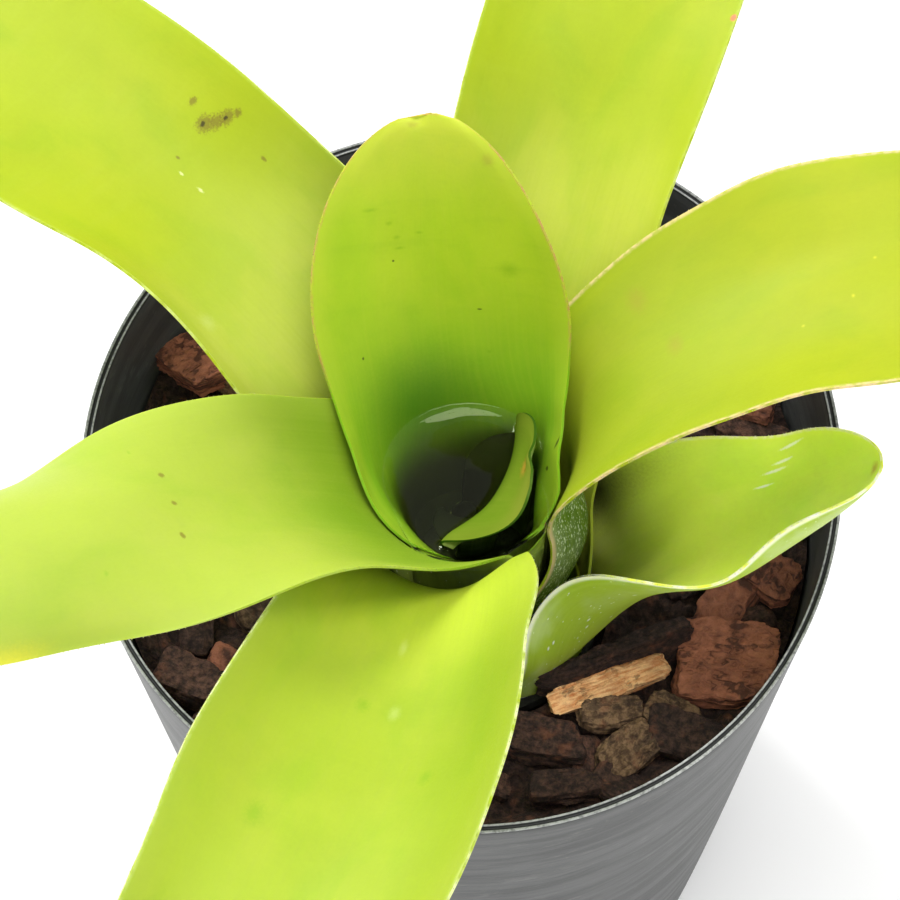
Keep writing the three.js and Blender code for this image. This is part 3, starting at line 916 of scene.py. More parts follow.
@dataclass(frozen=True)
class Spines:
    """Minute spines along both margins of a leaf, each a three-sided point.

    Attributes:
        pitch: Usual distance between two spines, in mm.
        length: Usual length of a spine, in mm.
        start: Where they begin, as a share of the height at which the blade leaves the tube.
        root: How deep they stand in the margin, in mm.
    """

    pitch: float = 1.0
    length: float = 0.2
    start: float = 0.75
    root: float = 0.12

    FOOT: ClassVar[float] = 0.45               # half its foot's length, as a share of its own length
    HEEL: ClassVar[float] = 0.3                # how far on its lower corner stands, in the same way
    LEAN: ClassVar[float] = 0.55               # how far on its point leans, in the same way
    ABOVE: ClassVar[float] = 0.1               # height of the foot's upper corner, in mm
    BELOW: ClassVar[float] = 0.14              # depth of its lower corner, in mm
    INWARDS: ClassVar[int] = 3                 # columns from the margin to a point of the blade

    def build(self, points: np.ndarray, flare: float, seed: int,
              finish: bpy.types.Material) -> bpy.types.Object:
        """Make the spines of one leaf.

        Args:
            points: The leaf's points.
            flare: Height at which its blade leaves the tube.
            seed: Picks their lengths and distances.
            finish: Material of the margin.

        Returns:
            All the spines as one piece.
        """
        draw = random.Random(seed)
        corners, faces, marks = [], [], []
        for edge, inner in ((0, self.INWARDS), (-1, -1 - self.INWARDS)):
            line = points[:, edge]
            run = np.concatenate([[0], np.cumsum(np.linalg.norm(np.diff(line, axis=0), axis=1))])
            at = flare * self.start
            while at < run[-1] - self.pitch:
                i = int(np.searchsorted(run, at))
                base = len(corners)
                corners += self._spine(line, points[i, inner], i, self.length * draw.uniform(0.7, 1.25))
                faces += [(base, base + 1, base + 3), (base + 1, base + 2, base + 3),
                          (base + 2, base, base + 3), (base, base + 2, base + 1)]
                marks += [(0, at, 0.0)] * 3 + [(0, at, -1.0)]
                at += self.pitch * draw.uniform(0.7, 1.35)
        mesh = bpy.data.meshes.new("spines")
        mesh.from_pydata([tuple(c * MM) for c in corners], [], faces)
        write_vector(mesh, "blade", np.array(marks))
        mesh.materials.append(finish)
        piece = bpy.data.objects.new("spines", mesh)
        bpy.context.collection.objects.link(piece)
        face_outwards(piece, welded=False)
        return piece

    def _spine(self, line: np.ndarray, inner: np.ndarray, i: int, size: float) -> list[np.ndarray]:
        """Place the corners of one spine.

        Args:
            line: The margin's points.
            inner: A point of the blade beside it.
            i: The margin's point at which the spine stands.
            size: Length of the spine.

        Returns:
            The three corners of its foot and its point.
        """
        out = line[i] - inner
        out /= np.linalg.norm(out)
        onward = line[min(i + 1, len(line) - 1)] - line[i - 1]
        onward /= np.linalg.norm(onward)
        up = np.cross(out, onward)
        foot = line[i] - out * self.root
        return [foot - onward * size * self.FOOT, foot + onward * size * self.FOOT + up * self.ABOVE,
                foot + onward * size * self.HEEL - up * self.BELOW,
                foot + out * (size + self.root) + onward * size * self.LEAN]


CLIMB_AT = (0, 0.1, 0.25, 0.5, 0.75, 1)
HALF_AT = (0, 0.2, 0.45, 0.75, 1)
CUP_AT = (0, 0.3, 0.65, 1)


@dataclass
class Leaf:
    """A strap leaf: a sheath wrapped round the tube that flares and unrolls into a blade.

    Attributes:
        name: CAD node that the leaf stands for.
        azimuth: Direction of the midrib, degrees from +X.
        layer: Place in the nest of sheaths, 0 is the innermost grown leaf.
        flare: Height above the stem at which the blade leaves the tube.
        reach: Length of the blade along its midrib from there.
        climb: Slope of the midrib in degrees, at CLIMB_AT after the sheath's own.
        swing: Turn of the midrib to the side, in proportion to the way along it and its square.
        twist: Turn of the blade about its midrib, in the same way.
        half: Half the blade's width, at HALF_AT.
        cupping: Curvature of the cross-section per mm, at CUP_AT after its first.
        unroll: Share of the blade over which the tube's curvature turns into the cupping.
        wrap: Half angle that the sheath takes round the tube at its foot, radians.
        rounding: Share of the blade at which its tip starts to narrow, and how bluntly.
        skin: Colours.
        seed: Picks the leaf's own unevenness.
        ripple: Height of the waves of its margins, in mm.
        marks: Marks on its upper face.
        pushes: Places where it is pushed out of its even form.
        edges: Stretches where it is wider or narrower.
        nestled: Whether its margins lie against the leaves outside it.
        row_step: Distance between two rows of the mesh, in mm.
        columns: Faces across the mesh.
        spines: The spines on its margins, if it has any.
    """

    name: str
    azimuth: float
    layer: float
    flare: float
    reach: float
    climb: tuple[float, ...]
    swing: tuple[float, float]
    twist: tuple[float, float]
    half: tuple[float, ...]
    cupping: tuple[float, ...]
    unroll: float
    wrap: float
    skin: Skin
    seed: int
    rounding: tuple[float, float] = (0.72, 2.4)
    ripple: float = 0.35
    marks: tuple[Mark, ...] = ()
    pushes: tuple[Push, ...] = ()
    edges: tuple[Edge, ...] = ()
    nestled: bool = False
    row_step: float = 0.75
    columns: int = 44
    spines: Spines | None = Spines()

    CROWDING: ClassVar[float] = 0.06           # the rows lie closer together at the tip
    LEAST_HALF: ClassVar[float] = 0.4          # half the leaf's width at its very tip
    FLATTEST: ClassVar[float] = 1e-5           # smallest curvature, so that no division is by zero
    THIN_REACH: ClassVar[float] = 2.5          # from the margin, over which the leaf thins to half
    SHARP: ClassVar[float] = math.radians(60)  # edges sharper than this stay hard
    NESTLE_REACH: ClassVar[float] = 6.0        # of the margin that moves
    NESTLE_GAP: ClassVar[float] = 5.5          # widest gap that is closed
    NESTLE_START: ClassVar[float] = 12.0       # along the leaf
    NESTLE_END: ClassVar[float] = 43.0
    NESTLE_FADE: ClassVar[float] = 7.0         # over which the move fades out before that end
    CLEARANCE: ClassVar[float] = 0.05          # left between two leaves

    def surface(self) -> Surface:
        """Lay out the middle of the leaf.

        Returns:
            Points in millimetres, row by row from the foot; the length along the midrib of each row; the
            offset across of each point; and the offset of the margin on its side.
        """
        radius = TUBE_RADIUS + SHEATH_PITCH * self.layer
        foot = radius - WATER_LINE * math.tan(TUBE_LEAN)
        total = self.flare + self.reach
        share = np.linspace(0, 1, int(total / self.row_step) + 1)
        length = total * (share + self.CROWDING * np.sin(np.pi * share) * share)
        t = np.clip((length - self.flare) / self.reach, 0, 1)
        slope = np.radians(curve_through(CLIMB_AT, (90 - math.degrees(TUBE_LEAN), *self.climb), t))
        heading = np.radians(self.azimuth + self.swing[0] * t + self.swing[1] * t * t)
        zero = np.zeros_like(t)
        level = np.stack([np.cos(heading), np.sin(heading), zero], -1)
        upright = np.array([0.0, 0.0, 1.0])
        onward = level * np.cos(slope)[:, None] + upright * np.sin(slope)[:, None]
        start = math.radians(self.azimuth)
        steps = (onward[1:] + onward[:-1]) / 2 * np.diff(length)[:, None]
        middle = np.concatenate([[[0, 0, 0]], np.cumsum(steps, 0)])
        middle += np.array([math.cos(start) * foot, math.sin(start) * foot, 0])

        side = np.stack([-np.sin(heading), np.cos(heading), zero], -1)
        inward = upright * np.cos(slope)[:, None] - level * np.sin(slope)[:, None]
        roll = np.radians(self.twist[0] * t + self.twist[1] * t * t)[:, None]
        across = side * np.cos(roll) + inward * np.sin(roll)
        lift = inward * np.cos(roll) - side * np.sin(roll)

        unrolled = smoothstep((length - self.flare) / (self.unroll * self.reach))
        tube = np.sin(slope) / np.hypot(middle[:, 0], middle[:, 1])
        cupped = curve_through(CUP_AT, (self.cupping[0], *self.cupping), t)
        bend = (1 - unrolled) * tube + unrolled * cupped
        bend = np.where(np.abs(bend) < self.FLATTEST, self.FLATTEST, bend)[:, None]
        opened = smoothstep(length / self.flare)
        tip = np.maximum(0, (t - self.rounding[0]) / (1 - self.rounding[0]))
        width = (1 - opened) * self.wrap * radius + opened * curve_through(HALF_AT, self.half, t)
        half = np.maximum(self.LEAST_HALF, np.sqrt(np.maximum(0, 1 - tip ** self.rounding[1])) * width)
        sides = np.linspace(-1, 1, self.columns + 1)
        extra = np.zeros((len(length), len(sides)))
        for edge in self.edges:
            swell = np.exp(-((length - edge.along) / edge.reach) ** 2)[:, None]
            extra += swell * np.where(sides > 0, edge.left, edge.right)
        half = np.maximum(self.LEAST_HALF, half[:, None] + extra)
        offset = half * sides
        points = (middle[:, None] + across[:, None] * (np.sin(offset * bend) / bend)[..., None]
                  + lift[:, None] * ((1 - np.cos(offset * bend)) / bend)[..., None])
        points += lift[:, None] * self._unevenness(length, offset, half, t)[..., None]
        for push in self.pushes:
            away = np.hypot(offset - push.across, length[:, None] - push.along) / push.reach
            points += np.exp(-away ** 2)[..., None] * np.array(push.shift)
        return points + PLANT, length, offset, half

    def _unevenness(self, length: np.ndarray, offset: np.ndarray, half: np.ndarray,
                    t: np.ndarray) -> np.ndarray:
        """Make the small rise and fall of the blade, most at its margins.

        Args:
            length: Along the midrib, for each row.
            offset: Across, for each point.
            half: Offset of the margin on its side.
            t: Share of the blade, for each row.

        Returns:
            The rise of each point, in mm.
        """
        grown = smoothstep((t - 0.06) / 0.3)[:, None]
        to_margin = np.abs(offset) / np.maximum(half, 1)
        along = np.broadcast_to(length[:, None], offset.shape)
        margin = waves(along, np.sign(offset) * 400, 24, self.seed) * to_margin ** 3 * self.ripple
        lumps = waves(along, offset * 1.6, 30, self.seed + 1) * 0.16
        return (margin + lumps) * grown

    def nestle(self, surface: Surface, outer: BVHTree) -> Surface:
        """Lay the margins of the sheath against the leaves outside it.

        Args:
            surface: The leaf's own surface.
            outer: The surfaces of the leaves outside it.

        Returns:
            The surface with its margins moved.
        """
        points, length, offset, half = surface
        room = half - np.abs(offset)
        moved = points.copy()
        along = length[:, None]
        rows, columns = np.nonzero((room < self.NESTLE_REACH) & (along > self.NESTLE_START)
                                   & (along < self.NESTLE_END))
        for row, column in zip(rows, columns):
            place = Vector(points[row, column])
            found, _, _, gap = outer.find_nearest(place, self.NESTLE_GAP)
            if found is None:
                continue
            share = smoothstep(1 - room[row, column] / self.NESTLE_REACH)
            share *= smoothstep((self.NESTLE_GAP - gap) / 2)
            share *= smoothstep((self.NESTLE_END - length[row]) / self.NESTLE_FADE)
            step = (found - place) * (1 - (LEAF_THICKNESS + self.CLEARANCE) / max(gap, 0.1))
            moved[row, column] += np.array(step) * share
        return moved, length, offset, half

    def build(self, effects: Effects, surface: Surface) -> bpy.types.Object:
        """Make the leaf and dress it.

        Args:
            effects: Shared shader groups.
            surface: The middle of the leaf.

        Returns:
            The finished leaf.
        """
        points, along, offset, half = surface
        piece = grid_piece(self.name + "_grown", points)
        room = np.minimum(half - np.abs(offset), (along[-1] - along)[:, None] * 1.2 + 0.02)
        along = np.broadcast_to(along[:, None], offset.shape)
        write_vector(piece.data, "blade", np.stack([offset, along, room], -1))
        body = piece.vertex_groups.new(name="body")
        thickness = np.round(0.5 + 0.5 * smoothstep(room / self.THIN_REACH), 1)
        for share in np.unique(thickness):
            where = np.flatnonzero(np.isclose(thickness.ravel(), share))
            body.add([int(i) for i in where], float(share), "REPLACE")
        length = self.flare + self.reach
        finish = LeafFinish(self.name, self.skin, self.seed, length, self.marks).build(effects)
        for material in finish:
            piece.data.materials.append(material)
        wall = piece.modifiers.new("wall", "SOLIDIFY")
        wall.thickness = LEAF_THICKNESS * MM
        wall.offset = 0
        wall.vertex_group = "body"
        wall.material_offset = 1
        wall.material_offset_rim = 2
        apply_modifiers(piece)
        piece.vertex_groups.clear()
        if self.spines:
            spines = self.spines.build(points, self.flare, self.seed + 50, finish[2])
            piece = join(piece.name, [piece, spines])
        shade_smooth(piece, self.SHARP)
        settle(piece, "leaf_green" if self.layer <= 0 else "leaf_lime", self.name)
        return piece


# The heart colours paint light and shade near the cup, and the sheath colours paint the shade on the under
# faces in it.
LIME = Skin(blade=srgb(147, 163, 20), heart=srgb(168, 180, 70), tip=srgb(147, 162, 18),
            heart_reach=(52.0, 86.0))
# BACK's dark back and sheath are painted shade: its under face shows only in the dark hollow beside the cup.
BACK = Skin(blade=srgb(145, 162, 10), heart=srgb(173, 184, 64), tip=srgb(145, 161, 6),
            back=srgb(46, 66, 22), sheath=srgb(20, 30, 10), heart_reach=(52.0, 84.0), line_start=60.0,
            scurf=0.2)
FRONT = Skin(blade=srgb(146, 166, 38), heart=srgb(170, 188, 48), tip=srgb(141, 156, 52),
             margin=srgb(196, 204, 150), heart_reach=(48.0, 76.0))
# LEFT's dark heart is painted shade where the blade turns down into the cup; its dark sheath is painted
# shade under its lip.
LEFT = Skin(blade=srgb(152, 170, 56), heart=srgb(120, 150, 30), tip=srgb(152, 170, 60),
            sheath=srgb(66, 66, 28), back=srgb(130, 150, 60), margin=srgb(156, 174, 74),
            heart_reach=(47.0, 71.0), scurf=0.02)
# RIGHT's dark back and sheath are partly painted shade, on the sheath's outer face under its blade.
RIGHT = Skin(blade=srgb(147, 159, 14), heart=srgb(141, 157, 32), tip=srgb(149, 162, 8),
             heart_reach=(58.0, 92.0), back=srgb(84, 116, 24), sheath=srgb(44, 66, 14),
             margin=srgb(206, 180, 140), line=0.8, line_width=0.7, line_start=30.0, scurf=0.5)
# LOW's dark foot is painted shade: the edge below its margin line lies in the hollow at the leaf's base.
LOW = Skin(blade=srgb(213, 231, 82), heart=srgb(186, 200, 84), tip=srgb(214, 236, 84),
           back=srgb(154, 180, 46), sheath=srgb(142, 166, 42), margin=srgb(226, 230, 200),
           heart_reach=(14.0, 34.0), tip_start=52.0, line=0.7, line_start=24.0, scurf=0.03, glow=1.0,
           foot=srgb(34, 38, 16))
# GREEN's dark heart is painted shade low on the centre leaf, and its sunk colour paints the shade below the
# water line.
GREEN = Skin(blade=srgb(162, 187, 34), heart=srgb(116, 160, 26), tip=srgb(172, 183, 50),
             sheath=srgb(58, 60, 24), margin=srgb(176, 136, 84), heart_reach=(38.0, 66.0), tip_start=70.0,
             line=0.5, line_width=0.45, teeth=srgb(110, 82, 40), scurf=0.02, bands=0.12,
             sunk_shade=srgb(74, 84, 32), sunk_shade_depth=19.0)
# YOUNG's sunk colour is painted shade below the water line.
YOUNG = Skin(blade=srgb(96, 118, 28), heart=srgb(52, 82, 18), tip=srgb(116, 126, 42), back=srgb(90, 112, 40),
             heart_reach=(35.0, 43.0), tip_start=44.0, line=0.1, scurf=0.0, glow=0.0, sunk_shade=srgb(18, 22, 8),
             sunk_shade_depth=1.2, relief=0.0, shine=0.0)


@dataclass
class Rosette:
    """The plant above the bark: two young leaves in the cup and seven grown ones round them.

    Attributes:
        leaves: The leaves, innermost first.
        surfaces: The middle of each leaf by its name, with margins laid against the leaves outside.
    """

    leaves: list[Leaf] = field(default_factory=lambda: [
        Leaf("leaf_bud", 155, -5.8, 14, 8, (87, 87, 87, 87, 87), (0, 0), (0, 0), (6, 6, 5.5, 5, 4),
             (0.38, 0.38, 0.38), 1, 1.4, YOUNG, 1, (0.3, 2.4), ripple=0, row_step=0.6, columns=28,
             spines=None),
        Leaf("leaf_heart", -24.7, -5, 30.2, 17.3, (90, 86, 81, 34, 60), (-22, 0), (3.5, 40),
             (10.5, 11.8, 11, 12.7, 11), (0.01, 0.047, 0.022), 0.44, 1.5, YOUNG, 2, (0.47, 1.6), ripple=0.1,
             row_step=0.35, columns=64, spines=None,
             pushes=(Push(4.6, 46.2, (-0.6, 0.5, -0.5), 1.5), Push(-10.5, 40, (-3.2, -0.8, 0), 4)),
             marks=(*marked(MarkKind.OCHRE, (2.8, 44.4, 2.2, 1.2, 1.0)),
                    *marked(MarkKind.BROWN, (2.4, 44.9, 0.5, 0.4, 0.9)))),
        Leaf("leaf_centre", 102.4, 0, 32.2, 56, (74.3, 63.8, 68, 67, 55), (4, -21), (-18, 5.8),
             (33, 22, 20.5, 18.5, 16.5), (0.022, 0.026, 0.028), 0.91, 2.4, GREEN, 3, (0.45, 2.4),
             pushes=(Push(2.6, 88.0, (0, 0.1, -0.8), 1.5), Push(-25, 37, (-2.4, 1.2, 0), 7.5)), nestled=True,
             # painted shade near the water, on the lower inner face
             marks=(*marked(MarkKind.DEEP_SHADE, (5.0, 40.0, 16.0, 14.0, 0.2)),
                    *marked(MarkKind.DARK_DOT, (6.5, 65.0, 0.26, 0.26, 0.2), (-5.9, 55.7, 0.5, 0.2, 0.3),
                            (-25.0, 36.8, 0.35, 0.3, 0.2), (-24.4, 39.3, 0.3, 0.9, 0.4),
                            (13.3, 50.9, 0.25, 0.3)),
                    *marked(MarkKind.FAINT, (-8.5, 82.3, 1.4, 1.4, 0.9), (2.9, 86.4, 1.2, 0.8)),
                    *marked(MarkKind.GREEN, (9.4, 73.6, 1.7, 0.5), (6.7, 71.2, 0.8, 0.6),
                            (5.7, 68.8, 0.9, 0.6), (5.4, 67.0, 1.2, 0.4), (2.3, 69.4, 0.9, 0.4),
                            (-11.0, 63.5, 2.6, 2.2), (-6.8, 47.9, 0.5, 0.4)))),
        Leaf("leaf_left", 213.5, 1, 31, 109.4, (57, 42.5, 34, 5, -15), (-16.3, 1.8), (11.3, 11.8),
             (21, 19.5, 19, 17.5, 17.5), (0.053, -0.047, -0.011), 0.58, 2.1, LEFT, 4,
             marks=(*marked(MarkKind.BROWN, (-7.1, 81.6, 0.7, 0.6, 0.9), (-1.6, 82.5, 0.6, 0.6),
                            (4.7, 84.6, 0.8, 0.6, 0.9)),
                    *marked(MarkKind.GREEN, (9.0, 97.8, 0.7, 0.5), (-12.4, 84.0, 0.7, 0.4)),
                    *marked(MarkKind.YELLOW, (17.3, 114.0, 3.0, 9.0)))),
        Leaf("leaf_right", 16.3, 2, 32.6, 120, (70.3, 37.7, 19, 8, -2), (-20.4, -7.5), (-10.8, 8),
             (12.6, 16.4, 21, 19, 15), (0.043, 0.007, 0.016), 0.59, 2, RIGHT, 5,
             edges=(Edge(32, 9, 0, 1.2),),
             pushes=(Push(-11, 36, (-1.8, 0.9, 0), 9), Push(-4, 25, (3.0, -0.6, 0), 10)),
             marks=(*marked(MarkKind.BLUSH, (10.5, 62.7, 3.2, 2.4, 1.0), (0.9, 66.0, 2.6, 2.0, 1.0)),
                    *marked(MarkKind.YELLOW, (3.7, 97.1, 0.4, 0.4, 0.2), (-5.2, 85.4, 0.4, 0.4),
                            (-2.4, 93.2, 0.5, 0.4, 0.2)))),
        Leaf("leaf_back_left", 139, 3, 24.5, 125, (59, 32, 14, 7, 0), (4, 1), (-4, -3),
             (20, 21.5, 21.5, 20.5, 17), (0.062, 0.02, 0.012), 0.5, 1.9, LIME, 6,
             marks=(*marked(MarkKind.BROWN, (-13.1, 90.2, 1.0, 0.8, 1.5), (-11.5, 86.6, 2.0, 1.7, 1.6),
                            (-12.9, 85.4, 1.9, 1.4, 1.6), (-14.5, 84.5, 1.9, 1.3, 1.6),
                            (-16.1, 83.6, 1.0, 0.8, 1.5), (-4.8, 86.3, 0.3, 0.5),
                            (-13.5, 76.4, 0.4, 0.7, 0.9)),
                    *marked(MarkKind.DARK, (-11.3, 86.8, 0.6, 0.5, 1.2), (-14.3, 84.6, 0.5, 0.4, 1.2)),
                    *marked(MarkKind.PALE, (-3.2, 80.3, 0.3, 0.9, 1.4), (-3.2, 84.2, 0.25, 0.7, 1.4)),
                    *marked(MarkKind.HAZE, (14.9, 65.0, 2.6, 2.2, 1.0)))),
        Leaf("leaf_front", 257.7, 4, 27, 125, (65.8, 22.8, 21.4, 2, -9), (-7.5, -9.6), (7.6, 1.5),
             (9.4, 19, 23.3, 20.5, 20), (0.053, 0.033, 0.044), 0.34, 1.95, FRONT, 7,
             pushes=(Push(15, 42, (-2.0, 1.3, 4.5), 9), Push(17, 56, (-1.8, 0, 0), 13)),
             marks=(*marked(MarkKind.SHADE, (15.5, 76.0, 10.0, 46.0, 0.2)),
                    *marked(MarkKind.HAZE, (-1.0, 62.5, 0.9, 2.6), (1.2, 75.5, 1.2, 2.2)),
                    *marked(MarkKind.GREEN, (-3.4, 75.5, 1.6, 2.0, 1.0), (-10.1, 101.0, 2.0, 3.0, 1.0),
                            (9.5, 88.0, 1.4, 2.2, 1.0)),
                    *marked(MarkKind.BROWN, (2.5, 38.5, 0.5, 0.4)))),
        Leaf("leaf_back", 71, 5, 23, 120, (61, 40, 26, 17, 8), (-1, 0), (-2, 0), (20, 20, 20, 19, 16),
             (0.05, 0.018, 0.013), 0.38, 1.8, BACK, 8,
             marks=marked(MarkKind.PINK, (-19.2, 95.9, 0.7, 0.8, 0.3))),
        Leaf("leaf_low_right", -13, 6, 1, 68, (62, 60, 40, 47, 66), (3, 14), (-20, -6),
             (20, 23.5, 19.5, 15.5, 12), (0.091, 0.05, 0.108), 0.42, 0.83, LOW, 9, row_step=0.6,
             # painted shade: the dark hollow at this leaf's base, beside the tube
             marks=(*marked(MarkKind.HOLLOW_SHADE, (19.0, 12.0, 9.0, 24.0, 0.3)),
                    *marked(MarkKind.SCRATCH, (8.8, 43.8, 0.3, 2.2, 0.9), (10.8, 46.2, 0.35, 3.0, 0.9),
                            (11.9, 48.0, 0.35, 2.6, 0.9), (13.8, 50.4, 0.35, 3.4, 0.9)),
                    *marked(MarkKind.OCHRE, (1.0, 67.3, 2.0, 1.3, 0.9)))),
    ])
    surfaces: dict[str, Surface] = field(init=False, default_factory=dict)

    OUTERMOST: ClassVar[int] = 2               # layer of the last leaf that a nestled one lies against

    def __post_init__(self) -> None:
        """Lay out the surfaces from the outermost leaf to the innermost."""
        corners, faces = [], []
        for leaf in reversed(self.leaves):
            surface = leaf.surface()
            if leaf.nestled:
                surface = leaf.nestle(surface, BVHTree.FromPolygons(corners, faces))
            self.surfaces[leaf.name] = surface
            if leaf.layer <= self.OUTERMOST:
                rows, columns = surface[0].shape[:2]
                index = np.arange(rows * columns).reshape(rows, columns) + len(corners)
                corners += [tuple(point) for point in surface[0].reshape(-1, 3)]
                quads = np.stack([index[:-1, :-1], index[:-1, 1:], index[1:, 1:], index[1:, :-1]], -1)
                faces += [tuple(int(i) for i in quad) for quad in quads.reshape(-1, 4)]

    def build(self, effects: Effects) -> dict[str, bpy.types.Object]:
        """Make every leaf.

        Args:
            effects: Shared shader groups.

        Returns:
            The leaves by name.
        """
        return {leaf.name: leaf.build(effects, self.surfaces[leaf.name]) for leaf in self.leaves}


# ---- water


@dataclass(frozen=True)
class RainWater:
    """Murky olive water that darkens with depth, and lets lamps light what is under it."""

    ior: float = 1.333
    sheen: float = 0.28
    sheen_tint: Colour = (0.8, 0.86, 0.56, 1)
    shadow: Colour = (0.96, 0.98, 0.94, 1)
    murk: Colour = (0.62, 0.68, 0.42, 1)
    density: float = 54.0
    ripple: float = 0.00006

    def build(self) -> bpy.types.Material:
        """Build the material.

        Returns:
            The material.
        """
        material, t, shader, output = new_material("rain_water")
        shader.inputs["Base Color"].default_value = (1, 1, 1, 1)
        shader.inputs["Roughness"].default_value = 0.0
        shader.inputs["IOR"].default_value = self.ior
        shader.inputs["Transmission Weight"].default_value = 1.0
        shader.inputs["Specular IOR Level"].default_value = self.sheen
        shader.inputs["Specular Tint"].default_value = self.sheen_tint
        t.feed(shader.inputs["Normal"], t.bump(t.noise(t.place(), 160.0, 2.0, 0.5), self.ripple))
        clear = t.add("BsdfTransparent", {"Color": self.shadow})
        lamp = t.add("LightPath").outputs["Is Shadow Ray"]
        mix = t.add("MixShader", {0: lamp, 1: shader.outputs[0], 2: clear.outputs[0]})
        t.feed(output.inputs["Surface"], mix.outputs[0])
        tint = t.add("VolumeAbsorption", {"Color": self.murk, "Density": self.density})
        t.feed(output.inputs["Volume"], tint.outputs[0])
        return material


@dataclass
class TankWater:
    """Rain water in the cup, climbing a little where it meets the leaves.

    Attributes:
        floor: Height of its lowest point above the stem.
        climb: How high it climbs at a leaf, in mm.
        fade: Distance over which the climb falls off, in mm.
        rings: Rows of the mesh from the axis to the wall.
        sides: Faces of the mesh round the axis.
        smoothing: Over how many of them the wall is smoothed.
    """

    floor: float = 8.0
    climb: float = 0.8
    fade: float = 1.3
    rings: int = 60
    sides: int = 180
    smoothing: int = 9

    ROUND_IT: ClassVar[tuple[str, ...]] = ("leaf_centre", "leaf_left", "leaf_right")

    def build(self, rosette: Rosette) -> bpy.types.Object:
        """Make the water, up against the leaves round it.

        Args:
            rosette: The leaves that hold the water.

        Returns:
            The water.
        """
        angles = np.linspace(-math.pi, math.pi, self.sides + 1)
        wall = self._wall(rosette, angles)
        shares = np.linspace(0, 1, self.rings) ** 0.7
        radius = shares[:, None] * wall
        x = radius * np.cos(angles)
        y = radius * np.sin(angles)
        near_wall = np.maximum(wall - LEAF_THICKNESS / 2 - radius, 0)
        near_heart = self._distance(rosette.surfaces["leaf_heart"][0], x, y)
        climb = np.exp(-near_wall / self.fade) + 0.6 * np.exp(-near_heart / (self.fade * 0.7))
        top = np.stack([x, y, WATER_LINE + self.climb * np.minimum(climb, 1.15)], -1)
        below = []
        for share in (0.5, 1.0):
            z = WATER_LINE + (self.floor - WATER_LINE) * share
            narrow = 1 - (WATER_LINE - z) * math.tan(TUBE_LEAN) / TUBE_RADIUS
            ring = np.stack([x[-1] * narrow, y[-1] * narrow, np.full_like(angles, z)], -1)
            below.append(ring)
        below.append(np.stack([x[0] * 0, y[0] * 0, np.full_like(angles, self.floor)], -1))
        piece = grid_piece("cup_water", np.concatenate([top, below]) + PLANT)
        face_outwards(piece)
        piece.data.materials.clear()
        piece.data.materials.append(RainWater().build())
        shade_smooth(piece, math.radians(50))
        settle(piece, "water", "tank_water")
        return piece

    def _wall(self, rosette: Rosette, angles: np.ndarray) -> np.ndarray:
        """Find the wall that the leaves make at the water line.

        Args:
            rosette: The leaves.
            angles: Directions from the axis.

        Returns:
            Distance of the wall from the axis in each direction.
        """
        wall = np.full_like(angles, np.inf)
        turn = 2 * math.pi
        for name in self.ROUND_IT:
            x, y = self._section(rosette.surfaces[name][0])
            bearing = np.unwrap(np.arctan2(y, x))
            order = np.argsort(bearing)
            for shift in (-2 * turn, -turn, 0, turn, 2 * turn):
                radius = np.interp(angles + shift, bearing[order], np.hypot(x, y)[order],
                                   left=np.inf, right=np.inf)
                wall = np.minimum(wall, radius)
        wall = np.where(np.isinf(wall), TUBE_RADIUS + SHEATH_PITCH, wall)
        kernel = np.hanning(self.smoothing + 2)[1:-1]
        reach = self.smoothing // 2
        padded = np.concatenate([wall[-reach - 1:-1], wall, wall[1:reach + 1]])
        return np.convolve(padded, kernel / kernel.sum(), mode="valid")

    def _section(self, points: np.ndarray) -> tuple[np.ndarray, np.ndarray]:
        """Find where each column of a leaf passes through the water line.

        Args:
            points: Points of the leaf.

        Returns:
            X and Y of those places from the axis.
        """
        points = points - PLANT
        height = points[..., 2]
        row = np.argmax(height > WATER_LINE, axis=0)
        column = np.flatnonzero(row > 0)
        row = row[column]
        low, high = points[row - 1, column], points[row, column]
        share = ((WATER_LINE - low[:, 2]) / (high[:, 2] - low[:, 2]))[:, None]
        at = low + (high - low) * share
        return at[:, 0], at[:, 1]

    def _distance(self, points: np.ndarray, x: np.ndarray, y: np.ndarray) -> np.ndarray:
        """Measure how far points on the water are from a young leaf that stands through it.

        Args:
            points: Points of the leaf.
            x: X of the points on the water, from the axis.
            y: Their Y.

        Returns:
            The distances.
        """
        points = (points - PLANT).reshape(-1, 3)
        level = points[np.abs(points[:, 2] - WATER_LINE) < 0.5]
        flat = np.stack([x.ravel(), y.ravel()], -1)
        gap = np.linalg.norm(flat[:, None] - level[None, :, :2], axis=-1).min(1)
        return np.maximum(gap - LEAF_THICKNESS / 2, 0).reshape(x.shape)


# ---- pot


def oval(angle: np.ndarray | float, share: np.ndarray | float) -> np.ndarray | float:
    """Return how far the soft pot is squeezed at an angle, from none at its foot to all at its rim."""
    full = -0.043 * np.cos(2 * angle) + 0.006 * np.sin(2 * angle) - 0.006 * np.cos(3 * angle)
    return 1 + smoothstep(share) * full


